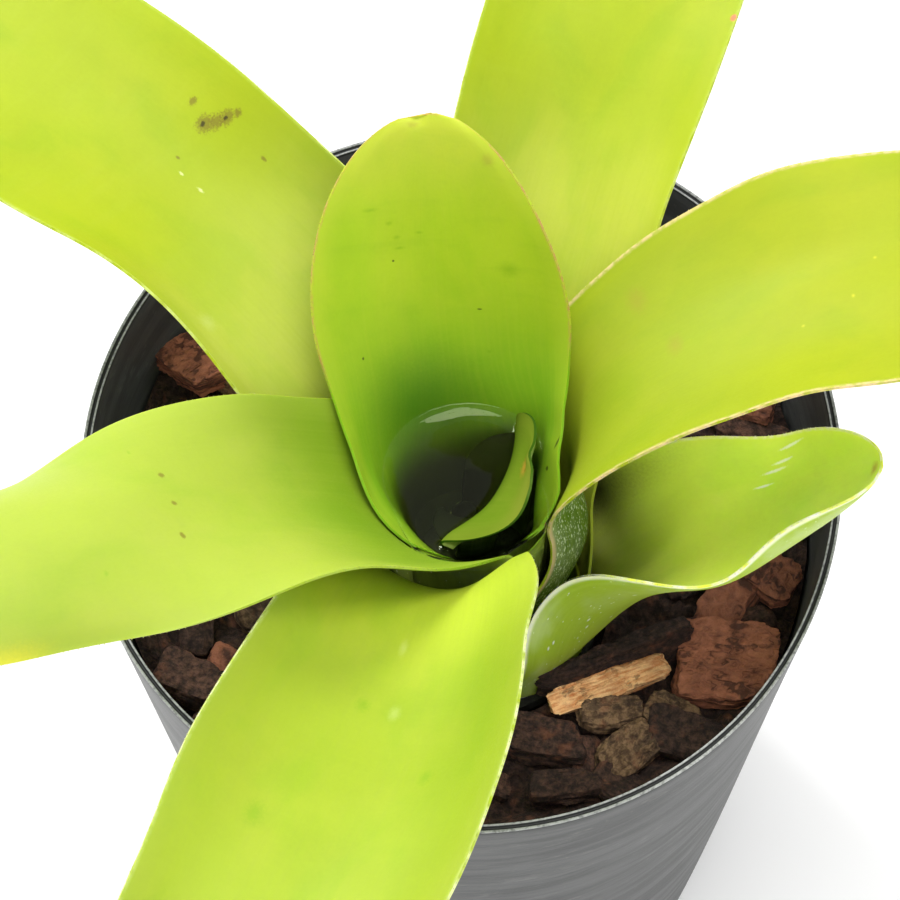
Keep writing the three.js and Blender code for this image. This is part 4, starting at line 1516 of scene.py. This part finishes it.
@dataclass(frozen=True)
class BlackPlastic:
    """Satin charcoal plastic: brushed round, scuffed, dusty; its dark rim's ridge is pale with wear and
    painted highlight.

    Attributes:
        rim: Height of the rim, in mm.
    """

    rim: float

    WALL: ClassVar[Pair] = (srgb(62, 63, 63), srgb(79, 80, 80))
    BRUSHED: ClassVar[Colour] = srgb(46, 46, 46)
    SCUFF: ClassVar[Colour] = srgb(130, 130, 126)
    DUST: ClassVar[Colour] = srgb(126, 126, 118)
    RIM: ClassVar[Colour] = srgb(44, 45, 45)
    WEAR_AND_HIGHLIGHT: ClassVar[Colour] = srgb(168, 170, 168)

    def build(self) -> bpy.types.Material:
        """Build the material.

        Returns:
            The material.
        """
        material, t, shader, _ = new_material("black_plastic")
        place = t.vector("MULTIPLY", t.place(), (1000, 1000, 1000))
        height = t.split(place)[2]
        streak = t.noise(t.vector("MULTIPLY", place, (0.04, 0.04, 0.3)), 1.0, 4.0, 0.6, 0.3)
        fine = t.noise(t.vector("MULTIPLY", place, (0.1, 0.1, 1.5)), 1.0, 3.0, 0.65, 0.4)
        speck = t.noise(place, 1.6, 3.0, 0.6)
        colour = t.blend(t.ramp(streak, 0.36, 0.66), *self.WALL)
        colour = t.blend(t.ramp(fine, 0.6, 0.76, 0, 0.34), colour, self.BRUSHED)
        smear = t.noise(t.vector("MULTIPLY", place, (0.12, 0.12, 0.35)), 1.0, 5.0, 0.7)
        colour = t.blend(t.ramp(smear, 0.56, 0.76, 0, 0.4), colour, self.SCUFF)
        dust = t.noise(place, 0.5, 5.0, 0.75)
        colour = t.blend(t.ramp(dust, 0.6, 0.74, 0, 0.35), colour, self.DUST)
        colour = t.blend(t.ramp(height, self.rim - 0.7, self.rim - 0.5), colour, self.RIM)
        # pale ridge at the rim's top: partly wear, partly a painted highlight on the rim's edges
        ridge = t.ramp(height, self.rim - 0.22, self.rim - 0.08)
        colour = t.blend(t.math("MULTIPLY", ridge, t.ramp(speck, 0.3, 0.6, 0.35, 0.85)), colour, self.WEAR_AND_HIGHLIGHT)
        t.feed(shader.inputs["Base Color"], colour)
        t.feed(shader.inputs["Roughness"], t.ramp(streak, 0.3, 0.7, 0.47, 0.43))
        shader.inputs["Specular IOR Level"].default_value = 0.22
        relief = t.math("ADD", t.math("MULTIPLY", fine, 0.4), t.math("MULTIPLY", speck, 0.3))
        t.feed(shader.inputs["Normal"], t.bump(relief, 0.0001))
        return material


@dataclass(frozen=True)
class Pot:
    """The thin black nursery pot, a little oval at its soft rim.

    Attributes:
        height: Height of the rim.
        rim_radius: Outer radius of the rim.
        taper: Lean of the wall, radians.
        wall: Thickness of the wall.
        floor: Thickness of the floor.
        sides: Faces round the wall.
        hole_radius: Radius of a drain hole.
        hole_circle: Radius of the circle that the drain holes stand on.
        holes: How many they are.
        rim_steps: From the outside in, how far each step of the rim goes in and how far up.
        levels: Heights at which the wall is cut into rings, closer near the rim.
        edge: Width of the worn edges.
    """

    height: float = 124.0
    rim_radius: float = 63.5
    taper: float = math.radians(7)
    wall: float = 1.4
    floor: float = 2.0
    sides: int = 180
    hole_radius: float = 4.0
    hole_circle: float = 33.0
    holes: int = 6
    rim_steps: tuple[tuple[float, float], ...] = ((0.4, 0), (0.25, -0.5), (0.3, 0), (0.15, 0.45), (0.3, 0))
    levels: tuple[float, ...] = (8, 20, 34, 48, 62, 76, 88, 98, 106, 112, 117, 121)
    edge: float = 0.12

    DISC: ClassVar[float] = 12.0               # inset that leaves the floor a ring and a middle

    def radius(self, z: np.ndarray | float) -> np.ndarray | float:
        """Return the outer radius at a height."""
        return self.rim_radius - (self.height - z) * math.tan(self.taper)

    def inner_radius(self, z: np.ndarray | float, angle: np.ndarray) -> np.ndarray:
        """Return the radius of the inner wall at a height and an angle."""
        return (self.radius(z) - self.wall) * oval(angle, z / self.height)

    def build(self) -> bpy.types.Object:
        """Make the pot from one cylinder: tapered, hollowed, its rim stepped and its floor drilled.

        Returns:
            The pot.
        """
        bpy.ops.object.select_all(action="DESELECT")
        bpy.ops.mesh.primitive_cylinder_add(vertices=self.sides, radius=self.radius(0) * MM,
                                            depth=self.height * MM, location=(0, 0, self.height * MM / 2))
        piece = named("nursery_pot")
        bpy.ops.object.transform_apply(location=True)
        bpy.ops.object.mode_set(mode="EDIT")
        self._pick_top(piece)
        grow = self.rim_radius / self.radius(0)
        bpy.ops.transform.resize(value=(grow, grow, 1))
        for inwards, up in self.rim_steps:
            bpy.ops.mesh.inset(thickness=inwards * MM, depth=up * MM)
        inside = self.rim_radius - self.wall
        low = self.radius(self.floor) - self.wall
        bpy.ops.mesh.extrude_region_move(
            TRANSFORM_OT_translate={"value": (0, 0, -(self.height - self.floor) * MM)})
        bpy.ops.transform.resize(value=(low / inside, low / inside, 1))
        bpy.ops.mesh.inset(thickness=self.DISC * MM)
        for z in self.levels:
            bpy.ops.mesh.select_all(action="SELECT")
            bpy.ops.mesh.bisect(plane_co=(0, 0, z * MM), plane_no=(0, 0, 1))
        bpy.ops.object.mode_set(mode="OBJECT")
        self._soften(piece)
        self._drill(piece)
        edge = piece.modifiers.new("worn edges", "BEVEL")
        edge.width = self.edge * MM
        edge.segments = 2
        edge.limit_method = "ANGLE"
        edge.angle_limit = math.radians(30)
        apply_modifiers(piece)
        piece.data.materials.clear()
        piece.data.materials.append(BlackPlastic(self.height).build())
        shade_smooth(piece, math.radians(40))
        settle(piece, "pot_plastic", "pot")
        return piece

    def _pick_top(self, piece: bpy.types.Object) -> None:
        """Select only the face that closes the top.

        Args:
            piece: The pot, in edit mode.
        """
        bpy.ops.mesh.select_all(action="DESELECT")
        bpy.ops.object.mode_set(mode="OBJECT")
        for face in piece.data.polygons:
            face.select = face.normal.z > 0.9
        bpy.ops.object.mode_set(mode="EDIT")

    def _soften(self, piece: bpy.types.Object) -> None:
        """Squeeze the soft wall oval and make it a little uneven.

        Args:
            piece: The pot.
        """
        co = positions(piece.data) / MM
        angle = np.arctan2(co[:, 1], co[:, 0])
        share = co[:, 2] / self.height
        squeeze = oval(angle, share) * (1 + 0.0012 * np.sin(5 * angle + 1.0) * smoothstep(share))
        co[:, 0] *= squeeze
        co[:, 1] *= squeeze
        set_positions(piece.data, co * MM)

    def _drill(self, piece: bpy.types.Object) -> None:
        """Cut the drain holes through the floor.

        Args:
            piece: The pot.
        """
        drills = []
        ring = self.hole_circle * MM
        for number in range(self.holes):
            angle = (number + 0.5) * 2 * math.pi / self.holes
            bpy.ops.object.select_all(action="DESELECT")
            bpy.ops.mesh.primitive_cylinder_add(
                vertices=32, radius=self.hole_radius * MM, depth=0.01,
                location=(ring * math.cos(angle), ring * math.sin(angle), 0.001))
            drills.append(bpy.context.object)
        drill = join("drill", drills)
        cut = piece.modifiers.new("drain holes", "BOOLEAN")
        cut.operation = "DIFFERENCE"
        cut.solver = "EXACT"
        cut.object = drill
        apply_modifiers(piece)
        bpy.data.objects.remove(drill)


# ---- bark


class BarkKind(Enum):
    """Kinds of bark by the number that its material reads: dark, reddish, olive tan and fresh tan."""

    DARK = 0.0
    RED = 0.35
    OLIVE = 0.7
    TAN = 1.0


@dataclass(frozen=True)
class Chip:
    """A piece of bark.

    Attributes:
        name: Name of the piece, and of the CAD node when it has one.
        x: Place of its middle.
        y: Place of its middle.
        z: Height of its middle.
        turn: Turn about the vertical, degrees.
        length: Along its grain.
        width: Across its grain.
        height: Through its layers.
        tilt: Tilt about X and Y, degrees.
        seed: Picks its broken outline.
        kind: What bark it is.
        cuts: How many broken planes bound it, besides its layers.
        tone: Its lightness, from 0 to 1.
    """

    name: str
    x: float
    y: float
    z: float
    turn: float
    length: float
    width: float
    height: float
    tilt: tuple[float, float]
    seed: int
    kind: BarkKind
    cuts: int = 8
    tone: float = 0.34


@dataclass(frozen=True)
class PineBark:
    """Pine bark, layered and crumbly, in the colours of each kind of chip."""

    dark: Pair = (srgb(40, 27, 21), srgb(90, 60, 46))
    red: Pair = (srgb(116, 68, 50), srgb(172, 108, 80))
    olive: Pair = (srgb(84, 62, 44), srgb(146, 114, 82))
    tan: Pair = (srgb(204, 132, 78), srgb(250, 200, 142))
    rust: Colour = srgb(136, 82, 56)
    groove_and_shade: Colour = srgb(34, 23, 18)
    relief: float = 0.0006

    def build(self, effects: Effects) -> bpy.types.Material:
        """Build the material.

        Args:
            effects: Shared shader groups.

        Returns:
            The material.
        """
        material, t, shader, _ = new_material("pine_bark")
        place = t.attribute("bark")
        kind, tone, _ = t.split(t.attribute("kind"))
        layers = t.noise(t.vector("MULTIPLY", place, (0.16, 0.2, 1.9)), 1.0, 4.0, 0.6, 0.4)
        fibre = t.noise(t.vector("MULTIPLY", place, (0.25, 2.2, 2.2)), 1.0, 3.0, 0.6)
        crumb = t.noise(place, 0.9, 5.0, 0.65)
        pits = t.cells(place, 0.75).outputs["Distance"]
        dark = t.blend(t.ramp(crumb, 0.35, 0.7), *self.dark)
        red = t.blend(t.ramp(layers, 0.35, 0.65), *self.red)
        olive = t.blend(t.ramp(crumb, 0.35, 0.65), *self.olive)
        tan = t.blend(t.ramp(fibre, 0.3, 0.7), *self.tan)
        colour = t.blend(t.ramp(kind, 0.05, 0.3), dark, red)
        colour = t.blend(t.ramp(kind, 0.42, 0.66), colour, olive)
        colour = t.blend(t.ramp(kind, 0.76, 0.98), colour, tan)
        colour = effects.mottled(t, colour, t.vector("MULTIPLY", place, (3, 3, 3)), 0.9, 0.5)
        colour = t.scale(colour, t.ramp(tone, 0, 1, 0.5, 1.15))
        rust = t.ramp(t.noise(place, 0.35, 3.0), 0.56, 0.74, 0, 0.3)
        colour = t.blend(rust, colour, self.rust)
        # dark layer lines: partly the bark's dark inner layers, partly painted shade in the recesses that
        # the bump cuts there
        colour = t.blend(t.ramp(layers, 0.46, 0.4, 0, 0.55), colour, self.groove_and_shade)
        t.feed(shader.inputs["Base Color"], colour)
        t.feed(shader.inputs["Roughness"], t.ramp(crumb, 0.3, 0.7, 0.95, 0.66))
        height = t.math("MULTIPLY", layers, 1.2)
        for part, share in ((crumb, 0.9), (fibre, 0.5), (pits, 0.4)):
            height = t.math("ADD", height, t.math("MULTIPLY", part, share))
        t.feed(shader.inputs["Normal"], t.bump(height, self.relief))
        shader.inputs["Specular IOR Level"].default_value = 0.35
        return material


@dataclass(frozen=True)
class BarkFill:
    """The pine bark in the pot: a bed of small chips and the larger loose ones on top of it.

    Attributes:
        pot: The pot that it fills.
        gap: Between the bed and the pot's wall.
        floor: Height of the bed's underside.
        top: Usual height of its top.
        hole_radius: Radius of the hollow for the stem.
        hole_floor: Height of that hollow's floor.
        clear: How far chips stay away from the hollow.
        overlap: Share of a loose chip's length within which no small chip lies.
        rings: How many small chips lie round the pot, and how far out, for each ring.
        squash: Width of the rings in X, to follow the oval pot.
        loose: The large chips.
    """

    pot: Pot = Pot()
    gap: float = 0.35
    floor: float = 2.3
    top: float = 105.0
    hole_radius: float = 22.5
    hole_floor: float = 81.7
    clear: float = 3.5
    overlap: float = 0.36
    rings: tuple[tuple[int, float], ...] = ((27, 54.5), (24, 47.5), (19, 40), (14, 32.5), (9, 27))
    squash: float = 0.957
    loose: tuple[Chip, ...] = (
        Chip("bark_brick", 41.4, -30.3, 107.6, -12, 15.6, 14.2, 5.4, (6, -5), 11, BarkKind.RED, 8, 0.58),
        Chip("bark_sliver", 22.6, -33.9, 108.4, 22, 20.5, 4.4, 3.0, (10, 0), 23, BarkKind.TAN, 6, 0.56),
        Chip("bark_strip", 23.6, -30.2, 109.8, 21, 26, 2.8, 7.0, (-14, 0), 37, BarkKind.DARK, 5, 0.08),
        Chip("bark_flake_1", 22.8, -38.6, 107.4, 8, 10.2, 5.4, 3.6, (8, 4), 41, BarkKind.OLIVE),
        Chip("bark_flake_2", 32.6, -38.9, 106.8, -20, 8.6, 6, 3.8, (-6, 8), 53, BarkKind.OLIVE),
        Chip("bark_flake_3", 25.2, -44.8, 106.8, 35, 10, 7, 4, (10, -8), 67, BarkKind.OLIVE),
        Chip("bark_flake_4", 12.6, -43, 106.8, -10, 13, 7.4, 4.4, (5, 6), 71, BarkKind.DARK),
        Chip("bark_flake_5", 15.4, -51.2, 107.2, 5, 11.5, 5.4, 3.8, (-4, 5), 83, BarkKind.DARK),
        Chip("bark_flake_6", 49.6, -14.6, 107.6, 60, 9.4, 8.4, 4.8, (8, 10), 97, BarkKind.RED),
        Chip("bark_flake_7", -44, 28.5, 108, 40, 13.8, 12, 5.2, (-8, 10), 101, BarkKind.RED, 8, 0.85),
        Chip("bark_flake_8", 45.6, 19.5, 107.6, -15, 14.4, 7.6, 4.8, (8, 6), 113, BarkKind.RED, 8, 0.2),
    )

    FINE: ClassVar[float] = 0.42               # faces of a loose chip
    COARSE: ClassVar[float] = 0.95             # faces of a small chip
    SIDES: ClassVar[int] = 160                 # faces of the bed round its axis
    TOP_ROWS: ClassVar[int] = 56               # its rows from the wall to the hollow
    MODELS: ClassVar[int] = 10                 # small chips that all the others are copied from
    SMALL_SIZES: ClassVar[tuple[tuple[float, float], ...]] = ((8, 15), (5, 9), (2.6, 4.6))
    TILTS: ClassVar[tuple[float, float]] = (-16, 16)
    RED_SHADE: ClassVar[float] = 0.45          # keeps the red small chips in the shade of the large ones
    SLOTS: ClassVar[dict[BarkKind, str]] = {BarkKind.DARK: "bark_dark", BarkKind.TAN: "bark_tan"}
    SMALL: ClassVar[tuple[BarkKind, ...]] = (BarkKind.DARK, BarkKind.DARK, BarkKind.RED, BarkKind.DARK,
                                             BarkKind.DARK, BarkKind.OLIVE)

    def build(self, effects: Effects) -> list[bpy.types.Object]:
        """Make the bed and every loose chip.

        Args:
            effects: Shared shader groups.

        Returns:
            The bed first, then the chips.
        """
        finish = PineBark().build(effects)
        pieces = [self._bed(finish)]
        for chip in self.loose:
            piece = self._chip(chip, self.FINE)
            self._settle_chip(piece, chip)
            piece.data.materials.append(finish)
            shade_smooth(piece, math.radians(32))
            settle(piece, self.SLOTS.get(chip.kind, "bark_red"), chip.name)
            pieces.append(piece)
        return pieces

    def _ground(self, x: np.ndarray, y: np.ndarray) -> np.ndarray:
        """Shape the top of the bed, banked up against the pot's wall.

        Args:
            x: X of the places.
            y: Their Y.

        Returns:
            The bed's height at each of them.
        """
        inner = self.pot.inner_radius(self.top, np.arctan2(y, x))
        edge = smoothstep((np.hypot(x, y) / inner - 0.75) * 4)
        lumps = np.sin(x * 0.42 + 1.3) * np.cos(y * 0.37 - 0.4) + 0.6 * np.sin(x * 0.19 - y * 0.31)
        return self.top + 2 * edge + 0.9 * lumps

    def _chip(self, chip: Chip, fineness: float) -> bpy.types.Object:
        """Break a chip out of a block of bark, centred on the origin with its grain along X.

        Args:
            chip: Sizes of the chip.
            fineness: Size of its faces, in mm.

        Returns:
            The chip, with its own place in its "bark" attribute.
        """
        draw = random.Random(chip.seed)
        bpy.ops.object.select_all(action="DESELECT")
        bpy.ops.mesh.primitive_cube_add(size=1)
        piece = named(chip.name + "_bark" if chip.name.startswith("bark_") else chip.name)
        bpy.ops.object.mode_set(mode="EDIT")
        bpy.ops.mesh.select_all(action="SELECT")
        bpy.ops.transform.resize(value=(chip.length * MM, chip.width * MM, chip.height * MM))
        for cut in range(chip.cuts):
            angle = (cut + draw.uniform(0.1, 0.9)) * 2 * math.pi / chip.cuts
            lean = draw.uniform(-0.5, 0.5)
            normal = Vector((math.cos(angle) * chip.width, math.sin(angle) * chip.length, 0)).normalized()
            reach = 0.5 * (abs(normal.x) * chip.length + abs(normal.y) * chip.width)
            reach *= draw.uniform(0.72, 0.98)
            normal.z = lean
            bpy.ops.mesh.select_all(action="SELECT")
            bpy.ops.mesh.bisect(plane_co=normal * reach * MM / normal.length_squared ** 0.5,
                                plane_no=normal, use_fill=True, clear_outer=True)
        bpy.ops.object.mode_set(mode="OBJECT")
        remesh = piece.modifiers.new("even", "REMESH")
        remesh.mode = "VOXEL"
        remesh.voxel_size = fineness * MM
        apply_modifiers(piece)
        co = positions(piece.data) / MM
        self._weather(co, chip)
        set_positions(piece.data, co * MM)
        write_vector(piece.data, "bark", co + np.array([chip.seed * 31.0, chip.seed * 17.0, 0]))
        self._write_kind(piece.data, chip.kind, chip.tone)
        return piece

    def _weather(self, co: np.ndarray, chip: Chip) -> None:
        """Split a chip's sides into layers and pit its faces.

        Args:
            co: Its points in mm, which are moved.
            chip: Sizes of the chip.
        """
        shift = Vector((chip.seed * 1.7, chip.seed * 0.9, chip.seed * 0.3))
        size = np.array([chip.length, chip.width, chip.height]) / 2
        for i, p in enumerate(co):
            q = Vector(p)
            layer = noise.noise(Vector((q.x * 0.12, q.y * 0.12, q.z * 1.5)) + shift)
            lump = noise.noise(q * 0.32 + shift)
            fine = noise.turbulence(Vector((q.x * 0.5, q.y * 1.1, q.z * 1.1)) + shift, 3, False) - 0.5
            side = min(1.0, math.hypot(p[0] / size[0], p[1] / size[1]) ** 3)
            out = math.hypot(p[0], p[1]) + 1e-6
            push = side * (0.75 * layer + 0.5 * lump) + 0.25 * fine
            co[i, 0] += p[0] / out * push
            co[i, 1] += p[1] / out * push
            co[i, 2] += np.sign(p[2]) * (0.35 * lump + 0.4 * fine) * min(1.0, abs(p[2]) / size[2])

    def _write_kind(self, mesh: bpy.types.Mesh, kind: BarkKind, tone: float) -> None:
        """Write the kind and the lightness of a piece of bark for the material.

        Args:
            mesh: Its mesh.
            kind: What bark it is.
            tone: Its lightness, from 0 to 1.
        """
        values = np.zeros((len(mesh.vertices), 3))
        values[:, 0] = kind.value
        values[:, 1] = tone
        write_vector(mesh, "kind", values)

    def _settle_chip(self, piece: bpy.types.Object, chip: Chip) -> None:
        """Turn a chip about its middle and put it in its place.

        Args:
            piece: The chip as it was made.
            chip: Its place.
        """
        turned = (Matrix.Rotation(math.radians(chip.turn), 4, "Z")
                  @ Matrix.Rotation(math.radians(chip.tilt[1]), 4, "Y")
                  @ Matrix.Rotation(math.radians(chip.tilt[0]), 4, "X"))
        piece.data.transform(Matrix.Translation(Vector((chip.x, chip.y, chip.z)) * MM) @ turned)

    def _bed(self, finish: bpy.types.Material) -> bpy.types.Object:
        """Make the ground that fills the pot, with small chips lying all over it.

        Args:
            finish: Bark material.

        Returns:
            The bed as one piece.
        """
        ground = self._fill()
        draw = random.Random(4)
        models = []
        for number in range(self.MODELS):
            size = [draw.uniform(*sizes) for sizes in self.SMALL_SIZES]
            kind = self.SMALL[number % len(self.SMALL)]
            chip = Chip(f"chip_{number}", 0, 0, 0, 0, *size, (0, 0), 200 + number, kind, 7)
            models.append((chip, self._chip(chip, self.COARSE)))
        pieces = [ground]
        for row, (count, reach) in enumerate(self.rings):
            for step in range(count):
                angle = (step + 0.5 * row + draw.uniform(-0.3, 0.3)) * 2 * math.pi / count
                radius = reach + draw.uniform(-2.5, 2.5)
                x = radius * math.cos(angle) * self.squash
                y = radius * math.sin(angle)
                if math.hypot(x - PLANT[0], y - PLANT[1]) < self.hole_radius + self.clear:
                    continue
                if any(math.hypot(x - c.x, y - c.y) < self.overlap * c.length for c in self.loose):
                    continue
                chip, model = draw.choice(models)
                piece = model.copy()
                piece.data = model.data.copy()
                bpy.context.collection.objects.link(piece)
                z = float(self._ground(np.array(x), np.array(y))) + draw.uniform(-0.6, 1.3)
                place = Chip(chip.name, x, y, z, draw.uniform(0, 360), 1, 1, 1,
                             (draw.uniform(*self.TILTS), draw.uniform(*self.TILTS)), 0, chip.kind)
                shade = self.RED_SHADE if chip.kind is BarkKind.RED else 1.0
                self._write_kind(piece.data, chip.kind, draw.random() * shade)
                self._settle_chip(piece, place)
                pieces.append(piece)
        for _, model in models:
            bpy.data.objects.remove(model)
        bed = join("bark_bed_filled", pieces)
        bed.data.materials.clear()
        bed.data.materials.append(finish)
        shade_smooth(bed, math.radians(38))
        settle(bed, "bark_dark", "bark_bed")
        return bed

    def _fill(self) -> bpy.types.Object:
        """Make the closed body of crumbled bark: floor, side, uneven top and the hollow for the stem.

        Returns:
            The body.
        """
        angles = np.linspace(-math.pi, math.pi, self.SIDES + 1)
        cos, sin = np.cos(angles), np.sin(angles)

        def ring(radius: np.ndarray | float, z: np.ndarray | float) -> np.ndarray:
            """Return a ring about the pot's axis."""
            radius = np.broadcast_to(radius, angles.shape)
            return np.stack([radius * cos, radius * sin, np.broadcast_to(z, angles.shape)], -1)

        wall = self.pot.inner_radius
        rows = [ring(0, self.floor)]
        rows += [ring(wall(self.floor, angles) * share - self.gap, self.floor) for share in (0.5, 1.0)]
        rows += [ring(wall(z, angles) - self.gap, z) for z in np.linspace(20, self.top - 4, 7)]
        edge = ring(wall(self.top, angles) - self.gap, 0)
        hole = np.stack([PLANT[0] + self.hole_radius * cos, PLANT[1] + self.hole_radius * sin, 0 * cos], -1)
        for share in np.linspace(0, 1, self.TOP_ROWS):
            row = edge * (1 - share) + hole * share
            crumbs = 0.55 * waves(row[:, 0], row[:, 1], 4.0, 91, 11)
            crumbs += 0.3 * waves(row[:, 0], row[:, 1], 1.8, 17, 11)
            row[:, 2] = self._ground(row[:, 0], row[:, 1]) - 1.0 + crumbs
            rows.append(row)
        for z in (self.top - 8, self.hole_floor):
            low = hole.copy()
            low[:, 2] = z
            rows.append(low)
        centre = np.broadcast_to(np.array([PLANT[0], PLANT[1], self.hole_floor]), hole.shape)
        rows.append(centre)
        piece = grid_piece("ground", np.stack(rows))
        face_outwards(piece)
        write_vector(piece.data, "bark", positions(piece.data) / MM)
        self._write_kind(piece.data, BarkKind.DARK, 0.1)
        return piece


# ---- stem


@dataclass(frozen=True)
class StemFibre:
    """Brown fibrous finish, darker where the stem stands in the sheaths."""

    fibre: Pair = (srgb(74, 56, 36), srgb(142, 118, 74))
    shaded: Colour = srgb(20, 20, 10)

    def build(self, effects: Effects) -> bpy.types.Material:
        """Build the material.

        Args:
            effects: Shared shader groups.

        Returns:
            The material.
        """
        material, t, shader, _ = new_material("stem_fibre")
        place = t.vector("MULTIPLY", t.place(), (1000, 1000, 1000))
        fibre = t.noise(t.vector("MULTIPLY", place, (1.4, 1.4, 0.2)), 1.0, 4.0, 0.6)
        colour = t.blend(t.ramp(fibre, 0.3, 0.7), *self.fibre)
        colour = effects.mottled(t, colour, place, 0.6, 0.4)
        top = t.ramp(t.split(place)[2], PLANT[2] - 4, PLANT[2] - 2)
        colour = t.blend(top, colour, self.shaded)
        t.feed(shader.inputs["Base Color"], colour)
        t.feed(shader.inputs["Roughness"], t.ramp(fibre, 0.3, 0.7, 0.9, 0.7))
        t.feed(shader.inputs["Normal"], t.bump(fibre, 0.0004))
        return material


@dataclass(frozen=True)
class Stem:
    """The stem and its roots, which keep their own shape and get a fibrous finish."""

    node: str = "stem"

    def build(self, effects: Effects) -> bpy.types.Object:
        """Dress the stem.

        Args:
            effects: Shared shader groups.

        Returns:
            The stem.
        """
        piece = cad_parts[self.node]
        piece.data.materials.clear()
        piece.data.materials.append(StemFibre().build(effects))
        log.info("%s: %d points, keeps its own shape", piece.name, len(piece.data.vertices))
        return piece


# ---- studio


@dataclass(frozen=True)
class Lamp:
    """A square soft lamp that faces the plant, its sizes in metres and its power in watts."""

    name: str
    place: Point
    size: float
    power: float
    colour: Point = (1.0, 1.0, 1.0)


@dataclass(frozen=True)
class Studio:
    """Pale floor, soft light and the camera.

    Attributes:
        target: Point on the camera's axis, in metres.
        distance: From the target to the camera, in metres.
        elevation: Of the camera above the horizon, degrees.
        roll: Of the picture, degrees, clockwise.
        lens: Focal length on a 36 mm sensor.
        lamps: The lamps.
        sky: Strength of the light from all round.
    """

    target: Point = (-0.002149, -0.010946, 0.142)
    distance: float = 0.41463
    elevation: float = 57.998
    roll: float = -0.538
    lens: float = 109.04
    lamps: tuple[Lamp, ...] = (
        Lamp("overhead", (0.06, 0.05, 1.14), 0.42, 5.0, (1.0, 0.99, 0.97)),
        Lamp("front", (0.12, -0.62, 0.95), 0.5, 3.0),
        Lamp("back left", (-0.45, 0.5, 0.85), 0.3, 7.5),
    )
    sky: float = 0.92

    def build(self) -> None:
        """Set up the camera, the floor, the lamps and the white room."""
        self._camera()
        self._floor()
        for lamp in self.lamps:
            self._light(lamp)
        world = bpy.data.worlds.new("white room")
        bpy.context.scene.world = world
        world.use_nodes = True
        background = world.node_tree.nodes["Background"]
        background.inputs["Color"].default_value = (1, 1, 1, 1)
        background.inputs["Strength"].default_value = self.sky
        bpy.context.scene.view_settings.view_transform = "Standard"

    def _camera(self) -> None:
        """Place the camera on its axis and roll it."""
        data = bpy.data.cameras.new("camera")
        data.sensor_width = 36
        data.lens = self.lens
        camera = bpy.data.objects.new("camera", data)
        bpy.context.collection.objects.link(camera)
        tilt = math.radians(90 - self.elevation)
        facing = Matrix.Rotation(tilt, 4, "X") @ Matrix.Rotation(math.radians(self.roll), 4, "Z")
        back = facing.to_3x3() @ Vector((0, 0, 1))
        camera.matrix_world = Matrix.Translation(Vector(self.target) + back * self.distance) @ facing
        bpy.context.scene.camera = camera

    def _floor(self) -> None:
        """Lay a wide pale floor."""
        bpy.ops.object.select_all(action="DESELECT")
        bpy.ops.mesh.primitive_plane_add(size=6, location=(0, 0, 0))
        floor = named("floor")
        material, t, shader, _ = new_material("pale_floor")
        soft = t.noise(t.place(), 3.0, 2.0)
        t.feed(shader.inputs["Base Color"], t.blend(soft, (0.93, 0.93, 0.93, 1), (0.96, 0.96, 0.96, 1)))
        shader.inputs["Roughness"].default_value = 0.9
        floor.data.materials.append(material)

    def _light(self, lamp: Lamp) -> None:
        """Hang a lamp and turn it to the plant.

        Args:
            lamp: The lamp.
        """
        data = bpy.data.lights.new(lamp.name, "AREA")
        data.size = lamp.size
        data.energy = lamp.power
        data.color = lamp.colour
        hung = bpy.data.objects.new(lamp.name, data)
        hung.location = lamp.place
        hung.rotation_euler = (Vector(self.target) - Vector(lamp.place)).to_track_quat("-Z", "Y").to_euler()
        bpy.context.collection.objects.link(hung)


def main() -> None:
    """Build the pot, the bark, the plant and its water, and set up the studio."""
    logging.basicConfig(level=logging.INFO, format="%(name)s: %(message)s")
    Studio().build()
    effects = Effects()
    Pot().build()
    BarkFill().build(effects)
    Stem().build(effects)
    rosette = Rosette()
    rosette.build(effects)
    TankWater().build(rosette)


if __name__ == "__main__":
    main()
